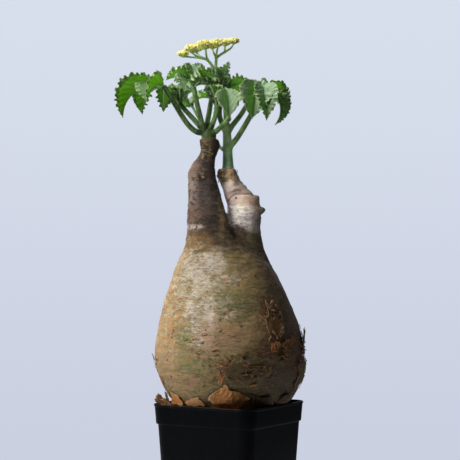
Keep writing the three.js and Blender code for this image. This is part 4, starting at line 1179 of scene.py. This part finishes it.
# Each cluster's twig and how far the cluster spreads.
KNOTS = {
    "buds_1": ([LEFT_FORK, (-25, -2, 354), (-32, -2.4, 354.5), (-35.4, -2.4, 354.6)], 3.4),
    "buds_2": ([LEFT_FORK, (-24, -4.5, 354.4), (-28.6, -8, 357.2)], 4.8),
    "buds_3": ([LEFT_FORK, (-22, 3, 355.4), (-25.6, 7, 358.8)], 5.2),
    "buds_4": ([LEFT_FORK, (-17.6, -2, 356.6), (-18, -5, 360.2)], 5.6),
    "buds_5": ([RIGHT_FORK, (-11.6, 3, 357.4), (-13, 7.4, 361.6)], 5.4),
    "buds_6": ([RIGHT_FORK, (-9.6, -3, 357.6), (-8.6, -7, 361.6)], 4.8),
    "buds_7": ([FAR_FORK, (-3.4, 3, 361), (-3.2, 5, 363.6)], 4.2),
    "buds_8": ([FAR_FORK, (1, 0.6, 361.4), (3.4, 0.4, 364.8)], 3.4),
}
KNOT_HEART = 0.5  # half the height of a cluster's rounded heart against its spread
KNOT_RISE = 0.95  # from its twig's end to the heart's foot
BUD_RADIUS = 0.9
BUDS_IN_KNOT = 46


def bud_yellow():
    material, shader, place = surface("bud_yellow", turn=PLANT_TURN, Specular_IOR_Level=0.2)
    shader.inputs["Subsurface Weight"].default_value = 0.7
    shader.inputs["Subsurface Radius"].default_value = (1.6, 1.4, 0.6)
    shader.inputs["Subsurface Scale"].default_value = 0.001
    tip = mark_of(place, "tip")
    patchy = clouds(place, 2.6, 1, 1, 3)
    fine = clouds(place, 0.5, 1, 2, 3)
    base = paint(step_up(patchy, 0.36, 0.64), "e2da7e", "ebe4a0")
    base = paint(1 - step_up(tip, 0.05, 0.4), base, "c6ce74")
    base = paint(step_up(fine, 0.52, 0.7) * 0.3, base, "ece6a4")
    paint(step_up(tip, 0.88, 1.0) * 0.3, base, "b59f3e").feed(shader, "Base Color")
    (0.45 + 0.2 * patchy).feed(shader, "Roughness")
    relief(fine, shader, 0.12)
    return material


def bud(root, centre, radius, seed):
    """A bud with four faint lobes on its stalk, and how near each point is to its tip."""
    axis = Vector(centre - root).normalized()
    axis = (axis + Vector((0, 0, 0.5))).normalized()
    frame_of = np.array(axis.to_track_quat("Z", "Y").to_matrix()).T
    turns = np.linspace(0, 2 * math.pi, 12, endpoint=False) + seed
    profile = [(-1.1, 0.4), (-0.95, 0.72), (-0.6, 0.96), (-0.1, 1.0), (0.45, 0.84), (0.9, 0.52), (1.15, 0.2)]
    lobed = 1 + 0.07 * np.cos(4 * turns)
    outline = np.stack([lobed * np.cos(turns), lobed * np.sin(turns), np.zeros(len(turns))], 1)
    points, faces = loft([outline * r + [0, 0, h] for h, r in profile])
    tip = np.clip((points[:, 2] + 1.1) / 2.25, 0, 1)
    points = points * radius @ frame_of + centre
    foot = centre - np.array(axis) * radius * 0.9
    path = [root, (root + foot) / 2 + [0, 0, -0.15], foot]
    stem = stem_tube(path, lambda share, to_end: 0.3 + 0.1 * share, sides=7, step=0.9)
    return merge([(points, faces), stem]), np.concatenate([tip, np.zeros(len(stem[0]))])


def make_flower_head():
    parts = []
    for path, radii in TWIGS:
        parts.append(stem_tube(path, stub_radius(radii, 0.18, 0.05), sides=14, step=0.8))
    for path, _ in KNOTS.values():
        parts.append(stem_tube(path, lambda share, to_end: 0.9 - 0.25 * share, sides=10, step=0.7))
    for place, size in ((FORK, 1.75), (LEFT_FORK, 1.45), (RIGHT_FORK, 1.45), (FAR_FORK, 1.2)):
        parts.append(ball(np.array(place), (size, size, size), 14, 8))
    points, faces = merge(parts)
    twig_green = fresh_green("flower_stalk_green", "9cc078", "7aa658", "4d6b34", "bcd4a2")
    stalk = build("flower_twigs", turned(points), faces, twig_green)
    add_to_part(stalk, "flower_stem", "flower_stalk")
    yellow = bud_yellow()
    for order, (name, (path, spread)) in enumerate(KNOTS.items()):
        root = np.array(path[-1])
        heart = root + [0, 0, KNOT_RISE + KNOT_HEART * spread]
        size = np.array([spread + 0.2, spread + 0.2, KNOT_HEART * spread])
        parts = [ball(heart - [0, 0, 0.4], size * (0.74, 0.74, 0.7), 28, 14)]
        tips = [np.full(len(parts[0][0]), 0.2)]
        random.seed(order)
        for number in range(BUDS_IN_KNOT):
            height = 1 - 1.25 * number / (BUDS_IN_KNOT - 1)
            angle = math.radians(137.5 * number + 40 * order)
            flat = math.sqrt(1 - height**2)
            way = np.array([flat * math.sin(angle), flat * math.cos(angle), height])
            centre = heart + way * size * random.uniform(0.8, 1.14) + [0, 0, random.uniform(-0.9, 0.3)]
            made, tip = bud(root - [0, 0, 0.3], centre, BUD_RADIUS * random.uniform(0.82, 1.08), number)
            parts.append(made)
            tips.append(tip)
        points, faces = merge(parts)
        cluster = build(name + "_cluster", turned(points), faces, yellow)
        keep_marks(cluster, tip=np.concatenate(tips))
        add_to_part(cluster, "bud", name)


make_flower_head()

# Bark. Papery outer skin, grey outside and orange brown inside: some flakes still hang on the trunk by one edge,
# others have dropped between the trunk and the pot, with many small torn scraps of both.

# Middle angle (270 the front), angle spanned, low and high edge, clearance at the root, lift at the loose edge, skew.
FLAKES = {
    "peeling_bark_1": (306, 20, 142, 168, 0.4, -3, 5), "peeling_bark_2": (318, 12, 134, 141, 0.4, 2, 2),
    "peeling_bark_3": (277, 28, 109, 127, 0.4, 2.6, -4), "peeling_bark_4": (352, 22, 128, 146, 0.4, 2.6, 3),
    "peeling_bark_5": (346, 26, 103, 125, 0.4, 2.2, -6), "peeling_bark_6": (182, 14, 121, 128, 0.4, 1.4, 0),
    "fallen_bark_1": (265, 34, 86.4, 107, 0.45, 3, 8), "fallen_bark_2": (236, 20, 87.2, 97.5, 0.45, 3, -3),
    "fallen_bark_3": (211, 20, 86.5, 99, 0.45, 3.5, 4), "fallen_bark_4": (193, 18, 86.2, 98, 0.6, 5, -5),
    "fallen_bark_5": (303, 24, 86.6, 102, 0.45, 4, -6), "fallen_bark_6": (325, 12, 91.6, 98, 0.45, 2.5, 3),
}
FLAKE_THICK = 0.34
FLAKE_STEPS, CURL_STEPS, SCRAP_STEPS = 40, 12, 6  # cells along each side of a sheet
ROOTED = -0.15  # where a scrap or a curl grows out of the skin
# Scraps: on which limb and its radius, how many, middle angle, angle spanned, low and high, longest side, lift, and
# the tone of the brightest.
SCRAPS = [
    (TRUNK, 54, 34, 352, 34, 104, 150, 5, 1.4, 0.6), (TRUNK, 54, 26, 310, 18, 140, 172, 4, 1.6, 1.15),
    (TRUNK, 54, 22, 318, 30, 122, 142, 5, 1.4, 1.0), (TRUNK, 54, 26, 273, 24, 106, 130, 4, 1.5, 1.0),
    (TRUNK, 54, 16, 294, 26, 108, 126, 4, 1.2, 0.9), (TRUNK, 54, 12, 258, 40, 118, 138, 2.4, 0.35, 0.7),
    (TRUNK, 54, 6, 184, 20, 100, 130, 3, 0.8, 0.6), (TRUNK, 54, 22, 20, 60, 104, 150, 6, 2, 0.7),
    (TRUNK, 54, 14, 70, 60, 108, 146, 5, 1.8, 0.7), (TRUNK, 54, 8, 130, 50, 110, 140, 4, 1.4, 0.7),
    (TRUNK, 54, 12, 236, 60, 132, 150, 1.8, 0.3, 0.7), (RIGHT_NECK, 8, 40, 250, 360, 257, 267, 3.6, 1.4, 0.45),
    (TRUNK, 8, 9, 260, 120, 272, 289, 2.6, 0.7, 0.25), (TRUNK, 10, 7, 250, 60, 259, 268, 2.4, 0.8, 0.25),
]
# Straight tears that end a fallen flake, each from one (side, rise) to another.
TEARS = {
    "fallen_bark_1": (((-1, 0.66), (-0.5, 1.02)), ((-0.55, 1.0), (1, 0.5))),
    "fallen_bark_2": (((-1, 0.6), (1, 1.02)),),
    "fallen_bark_3": (((-0.1, 1.05), (1, 0.5)),),
    "fallen_bark_5": (((-1, 0.8), (1, 0.6)),),
}
# How far a fallen flake is bent out in the middle, and how orange each flake is, where that isn't 0.3.
FOLDS = {"fallen_bark_1": 4.2, "fallen_bark_2": 1.8, "fallen_bark_3": 4, "fallen_bark_4": 4, "fallen_bark_5": 3}
# fallen_bark_5 and fallen_bark_6 are made dark as painted shade at the trunk's foot on its right front.
TONES = {
    "fallen_bark_1": 0.92, "fallen_bark_2": 1.1, "fallen_bark_3": 0.9, "fallen_bark_4": 0.1, "fallen_bark_5": 0.1,
    "fallen_bark_6": 0.1, "peeling_bark_1": 0.5, "peeling_bark_2": 0.6,
}
# The share of a flake that is torn away: little of a fallen one, much of one that hangs.
FALLEN_HOLES, PEELING_HOLES = 0.04, {"peeling_bark_6": 0.75}
# Curled strips: middle angle, angle spanned, low and high, lift, skew, tone.
CURLS = [
    (262, 3, 108, 121, 1.6, 5, 0.8), (268, 10, 121, 123.4, 1.6, 3, 0.95), (276, 5, 117, 122.5, 2.4, 6, 0.75),
    (283, 8, 113, 115.5, 1.6, 2, 0.6), (288, 6, 105.5, 107.6, 2.0, 2, 0.9), (309, 4, 141, 148, 2.2, 4, 0.85),
    (303, 3, 152, 158, 1.8, -3, 0.7), (305, 4, 132, 138, 2.0, -2, 0.8), (290, 14, 120, 121.4, 1.0, 2, 0.5),
    (196, 3, 104, 112, 1.2, 3, 0.9),
]
# Rolls of bark on the soil: from and to, radius.
ROLLS = [
    ((-45, -19, 86.4), (-54.5, -13, 96.6), 1.5), ((-46, -15, 86.2), (-56, -9, 93), 1.3),
    ((-41, -23, 86.2), (-50, -17, 94), 1.2), ((-48, -12, 86), (-53, -3, 95), 1.0),
    ((6, -48, 85.8), (15, -46, 87.2), 1.1), ((-6, -42, 85.8), (-14, -38, 86.8), 1.0),
]


def paper_bark():
    material, shader, place = surface("paper_bark", turn=PLANT_TURN, Specular_IOR_Level=0.3)
    inside = mark_of(place, "upper")
    edge = mark_of(place, "edge")
    tone = mark_of(place, "tone")
    patchy = clouds(place, 5, 1.6, 1, 5, 0.65)
    fibre = clouds(place, 1.6, 0.3, 2, 5, 0.65)
    fine = clouds(place, 0.6, 1.4, 3, 4, 0.65)
    shade = tone * 0.8 + patchy * 0.5 - 0.15
    warm = ramp(shade, (0, "40281c"), (0.3, "7c4a28"), (0.6, "c27a3a"), (0.8, "d8924c"), (1, "e6b27a"))
    base = paint(step_up(fibre, 0.5, 0.62) * 0.4, warm, "d9b189")
    base = paint(step_up(1 - fibre, 0.52, 0.64) * (0.45 - 0.25 * tone), base, "5f3820")
    height = along(place, "Z")
    weathered = paint(step_up(patchy, 0.42, 0.54) * step_up(height, 102, 108), "45381f", "66663c")
    weathered = paint(step_up(fine, 0.5, 0.6) * step_up(height, 102, 108) * 0.6, weathered, "9a7a5a")
    base = paint(step_up(0.66 - tone, 0, 0.2) * (0.85 - 0.5 * inside), base, weathered)
    base = paint(step_up(edge, 0.82, 1.0) * (0.15 + 0.6 * tone), base, "e6c9a4")
    paint(step_up(fine, 0.56, 0.66) * (0.4 - 0.22 * tone), base, "432818").feed(shader, "Base Color")
    (0.62 + 0.2 * patchy).feed(shader, "Roughness")
    relief(fibre * 0.6 + fine * 0.4, shader, 0.45)
    lit = place.node("BsdfTranslucent", None, {"Color": colour("d08a48")})
    mix_in(material, shader, 0.06 + 0.26 * tone, lit)
    return material


def zigzag(angle):
    """A wave like sine with straight flanks."""
    return 2 / math.pi * np.arcsin(np.sin(angle))


def flake_sheet(
    middle, span, low, high, root, lift, skew, number, steps, curl=0.0, holes=0.0, tears=(), limb=TRUNK, fold=0.0
):
    """Points, faces and the marks edge and upper of a torn sheet of bark wrapped round the trunk or a neck. Holes is
    the share that is torn away, mostly near its edges, and each of tears a straight one, as two (side, rise)."""
    rise, side = np.meshgrid(np.linspace(0, 1, steps + 1), np.linspace(-1, 1, steps + 1), indexing="ij")
    flat = np.stack([rise.ravel() * 3 + 7 * number, side.ravel() * 2, 0 * side.ravel() + number], 1)
    torn = swells(flat, 1, 1).reshape(rise.shape)
    shred = swells(flat * 4.2, 1, 2).reshape(rise.shape)
    # Its outline: narrower away from its middle, with a ragged edge, and lifted off the skin towards its loose end.
    loose = rise if lift > 0 else 1 - rise
    narrow = 1 - 0.5 * np.abs(rise - 0.45) - 0.12 * zigzag(9 * rise + number)
    narrow = narrow * (1 + 0.12 * torn * np.abs(side) + 0.08 * shred * np.abs(side))
    angle = np.radians(middle + side * span * narrow / 2 + skew * rise)
    ragged = 0.1 * (high - low) * zigzag(5 * side + 3 * number) * (2 * rise - 1)
    ragged = ragged + (high - low) * (0.05 * torn + 0.05 * shred) * (2 * rise - 1)
    z = low + (high - low) * rise + ragged
    off = root + abs(lift) * loose**2 + 0.25 * abs(lift) * side**2 + 0.16 * abs(lift) * (torn + 0.5 * shred) * loose
    off = np.maximum(off + curl * np.clip(loose - 0.6, 0, 1) ** 2, -0.2)
    if fold:
        crumple = 0.3 * zigzag(4.4 * side + 2.6 * rise + number) * rise + 0.1 * shred
        off = root + fold * np.maximum(np.minimum(rise / 0.3, (1 - rise) / 0.7) + crumple, 0)
    z = np.where(z < SOIL_Z + 3, np.maximum(z, SOIL_Z + 0.4), z)
    upper, lower = around(limb, angle, z, off + FLAKE_THICK), around(limb, angle, z, off)
    # The cells that are left of it, and the walls along their bare sides.
    count = (steps + 1) ** 2
    top = np.arange(count).reshape(steps + 1, steps + 1)
    edge = np.maximum(np.abs(side), np.abs(2 * rise - 1))
    cells = (torn + 0.9 * shred)[:-1, :-1] + 0.7 * (edge[:-1, :-1] + edge[1:, 1:] - 1.2)
    kept = np.ones((steps, steps), bool)
    if holes:
        kept = cells < np.quantile(cells, 1 - holes)
    for (side_a, rise_a), (side_b, rise_b) in tears:
        beyond = (side_b - side_a) * (rise - rise_a) - (rise_b - rise_a) * (side - side_a)
        kept &= beyond[:-1, :-1] + 0.05 * shred[:-1, :-1] < 0
    around_cell = np.pad(kept, 1)
    corners = [top[:-1, :-1], top[:-1, 1:], top[1:, 1:], top[1:, :-1]]
    faces = [np.stack(corners, -1)[kept], (np.stack(corners[::-1], -1) + count)[kept]]
    beside = [around_cell[:-2, 1:-1], around_cell[1:-1, 2:], around_cell[2:, 1:-1], around_cell[1:-1, :-2]]
    for i, next_to in enumerate(beside):
        a, b = corners[i], corners[(i + 1) % 4]
        faces.append(np.stack([b, a, a + count, b + count], -1)[kept & ~next_to])
    faces = np.vstack(faces)
    nearest = np.ones_like(edge)
    bare = np.zeros((steps + 1, steps + 1), bool)
    for i, j in ((0, 0), (0, 1), (1, 0), (1, 1)):
        bare |= ~around_cell[i : i + steps + 1, j : j + steps + 1]
    nearest = np.where(bare, 1.0, np.clip(edge, 0, 0.9))
    used, faces = np.unique(faces, return_inverse=True)
    marks = np.stack([np.tile(nearest.ravel(), 2), np.repeat([0.0, 1.0], count)], 1)[used]
    points = np.vstack([upper.reshape(-1, 3), lower.reshape(-1, 3)])[used]
    return points, faces.reshape(-1, 4).tolist(), marks


def bark_roll(start, end, radius, number):
    """A sheet of bark rolled up round a line, open at both ends."""
    start, end = np.array(start, float), np.array(end, float)
    steps, wraps = 12, 26
    axis = (end - start) / np.linalg.norm(end - start)
    side = np.cross(axis, [0, 0, 1])
    side /= np.linalg.norm(side)
    up = np.cross(side, axis)
    run, turn = np.meshgrid(np.linspace(0, 1, steps + 1), np.linspace(0, 1.35, wraps + 1), indexing="ij")
    reach = radius * (0.72 + 0.3 * turn + 0.12 * zigzag(7 * run + number))
    turns = 2 * math.pi * turn + number
    length = run + 0.09 * zigzag(9 * turn + number) * (2 * run - 1)
    centre = start + length[..., None] * (end - start)
    way = np.cos(turns)[..., None] * side + np.sin(turns)[..., None] * up
    outer, inner = centre + way * (reach + 0.28)[..., None], centre + way * reach[..., None]
    count = outer[..., 0].size
    top = np.arange(count).reshape(run.shape)
    corners = [top[:-1, :-1], top[:-1, 1:], top[1:, 1:], top[1:, :-1]]
    faces = [np.stack(corners[::-1], -1).reshape(-1, 4), (np.stack(corners, -1) + count).reshape(-1, 4)]
    for border in (top[0], top[::-1, 0], top[-1, ::-1], top[:, -1]):
        a, b = border[:-1], border[1:]
        faces.append(np.stack([a, b, b + count, a + count], -1))
    edge = np.maximum(np.abs(2 * run - 1) ** 3, 0).ravel()
    marks = np.stack([np.tile(edge, 2), np.repeat([1.0, 0.0], count)], 1)
    return np.vstack([outer.reshape(-1, 3), inner.reshape(-1, 3)]), np.vstack(faces).tolist(), marks


def make_bark():
    paper = paper_bark()
    for number, (name, flake) in enumerate(FLAKES.items()):
        holes = PEELING_HOLES.get(name, 0.4) if "peeling" in name else FALLEN_HOLES
        tears, fold = TEARS.get(name, ()), FOLDS.get(name, 0)
        points, faces, marks = flake_sheet(*flake, number, FLAKE_STEPS, holes=holes, tears=tears, fold=fold)
        sheet = build(name + "_sheet", turned(points), faces, paper)
        keep_marks(sheet, edge=marks[:, 0], upper=marks[:, 1], tone=[TONES.get(name, 0.3)] * len(points))
        add_to_part(sheet, "dry_bark", name)
    random.seed(3)
    parts, marks, tones = [], [], []
    for limb, limb_radius, count, middle, span, low, high, size, lift, brightest in SCRAPS:
        for _ in range(count):
            angle = middle + random.triangular(-0.5, 0.5) * span
            height = random.triangular(low, high)
            tall = size * random.uniform(0.35, 1)
            wide = math.degrees(size * random.uniform(0.35, 1) / limb_radius)
            up = random.choice((1, -1)) * lift * random.uniform(0.3, 1)
            skew, number = random.uniform(-5, 5), random.uniform(0, 90)
            points, faces, mark = flake_sheet(
                angle, wide, height, height + tall, ROOTED, up, skew, number, SCRAP_STEPS, abs(up) * 0.5, limb=limb
            )
            parts.append((points, faces))
            marks.append(mark)
            tones += [random.uniform(0.05 if size > 3 else 0.6 * brightest, brightest)] * len(points)
    for number, (middle, span, low, high, lift, skew, tone) in enumerate(CURLS):
        points, faces, mark = flake_sheet(middle, span, low, high, ROOTED, lift, skew, 20 + number, CURL_STEPS, lift)
        parts.append((points, faces))
        marks.append(mark)
        tones += [tone] * len(points)
    for number, roll in enumerate(ROLLS):
        points, faces, mark = bark_roll(*roll, number)
        parts.append((points, faces))
        marks.append(mark)
        tones += [0.08 + 0.08 * (number % 3)] * len(points)
    points, faces = merge(parts)
    scraps = build("bark_scraps", turned(points), faces, paper)
    edge, upper = np.vstack(marks).T
    keep_marks(scraps, edge=edge, upper=upper, tone=tones)
    add_to_part(scraps, "dry_bark")


make_bark()

# Studio. A plain pale floor that fades into an even pale blue grey, a large soft light from the left, faint ones
# elsewhere, and the camera level with the middle of the trunk.

CAMERA = (0.6, -1350, 222)  # in the plant's own frame
LENS_PIXELS, FRAME_PIXELS, SENSOR = 1760, 460, 36


def make_floor():
    sides, rings = 96, 40
    turns = np.linspace(0, 2 * math.pi, sides, endpoint=False)
    points, faces = [(0, 0, 0)], [(0, 1 + i, 1 + (i + 1) % sides) for i in range(sides)]
    for ring in range(1, rings + 1):
        reach = 345 * ring / rings
        points += [(reach * math.cos(a), reach * math.sin(a), 0) for a in turns]
    for ring in range(rings - 1):
        inner, outer = 1 + ring * sides, 1 + (ring + 1) * sides
        faces += [(inner + i, outer + i, outer + (i + 1) % sides, inner + (i + 1) % sides) for i in range(sides)]
    material, shader, place = surface("pale_floor")
    distance = place.node("VectorMath", {"operation": "LENGTH"}, {0: place}, output="Value")
    paint(clouds(place, 60, 1, 1) * 0.3, "c8ccd4", "d2d5dc").feed(shader, "Base Color")
    shader.inputs["Roughness"].default_value = 0.9
    clear = place.node("BsdfTransparent")
    fade = step_up(distance, 150, 335)
    mix_in(material, shader, fade, clear)
    floor = build("floor", np.array(points), faces, material)


def make_backdrop():
    """The even backdrop that the camera sees, and the light that the room sends: mostly from behind the plant."""
    world = bpy.data.worlds.new("studio")
    bpy.context.scene.world = world
    world.use_nodes = True
    tree = world.node_tree
    way = Shade(tree).node("TexCoord", output="Generated")
    way = way.node("VectorRotate", {"rotation_type": "Z_AXIS"}, {"Vector": way, "Angle": -math.radians(PLANT_TURN)})
    behind = along(way, "Y")
    rise = along(way, "Z")
    seen = Shade(tree).node("LightPath", output="Is Camera Ray")
    even = paint(step_up(rise, -0.14, 0.14), "cad0e0", "d7deec")
    room = paint(step_up(behind, -0.05, 0.75), (0.025, 0.025, 0.027, 1), (0.78, 0.82, 0.93, 1))
    room = paint(step_up(-1 * rise, 0.0, 0.3), room, (0.03, 0.03, 0.032, 1))
    right = along(way, "X")
    room = paint(step_up(right, 0.1, 0.6) * 0.8, room, (0.03, 0.03, 0.032, 1))
    shown = seen.node("Mix", {"data_type": "RGBA"}, {"Factor": seen, "A": room, "B": even})
    tree.links.new(shown.socket, tree.nodes["Background"].inputs["Color"])


def soft_light(name, place, target, width, height, watts, tint, spread=180):
    """An area light, placed in the plant's own frame in millimetres."""
    lamp = bpy.data.lights.new(name, "AREA")
    lamp.shape, lamp.size, lamp.size_y = "RECTANGLE", width / 1000, height / 1000
    lamp.energy, lamp.color, lamp.spread = watts, tint, math.radians(spread)
    light = bpy.data.objects.new(name, lamp)
    bpy.context.scene.collection.objects.link(light)
    here, there = (Vector(p) / 1000 for p in turned([place, target]))
    light.location = here
    light.rotation_euler = (there - here).to_track_quat("-Z", "Y").to_euler()


def make_camera():
    lens = bpy.data.cameras.new("camera")
    lens.sensor_width = SENSOR
    lens.lens = LENS_PIXELS * SENSOR / FRAME_PIXELS
    lens.clip_start, lens.clip_end = 0.01, 50
    camera = bpy.data.objects.new("camera", lens)
    bpy.context.scene.collection.objects.link(camera)
    camera.location = Vector(turned([CAMERA])[0]) / 1000
    camera.rotation_euler = (math.pi / 2, 0, math.radians(PLANT_TURN))
    bpy.context.scene.camera = camera


make_floor()
make_backdrop()
soft_light("key", (-905, -480, 985), (0, 0, 230), 600, 700, 20, (1.0, 0.965, 0.91))
soft_light("top", (-320, 330, 1200), (0, 0, 280), 800, 500, 9, (0.95, 0.97, 1.0))
soft_light("neck", (-240, -690, 420), (10, 0, 249), 30, 30, 0.0138, (0.97, 0.97, 0.97), spread=7)
soft_light("crown", (-160, -760, 160), (-14, 0, 352), 30, 30, 0.0068, (0.98, 0.99, 0.95), spread=9)
make_camera()
bpy.context.scene.view_settings.view_transform = "Standard"
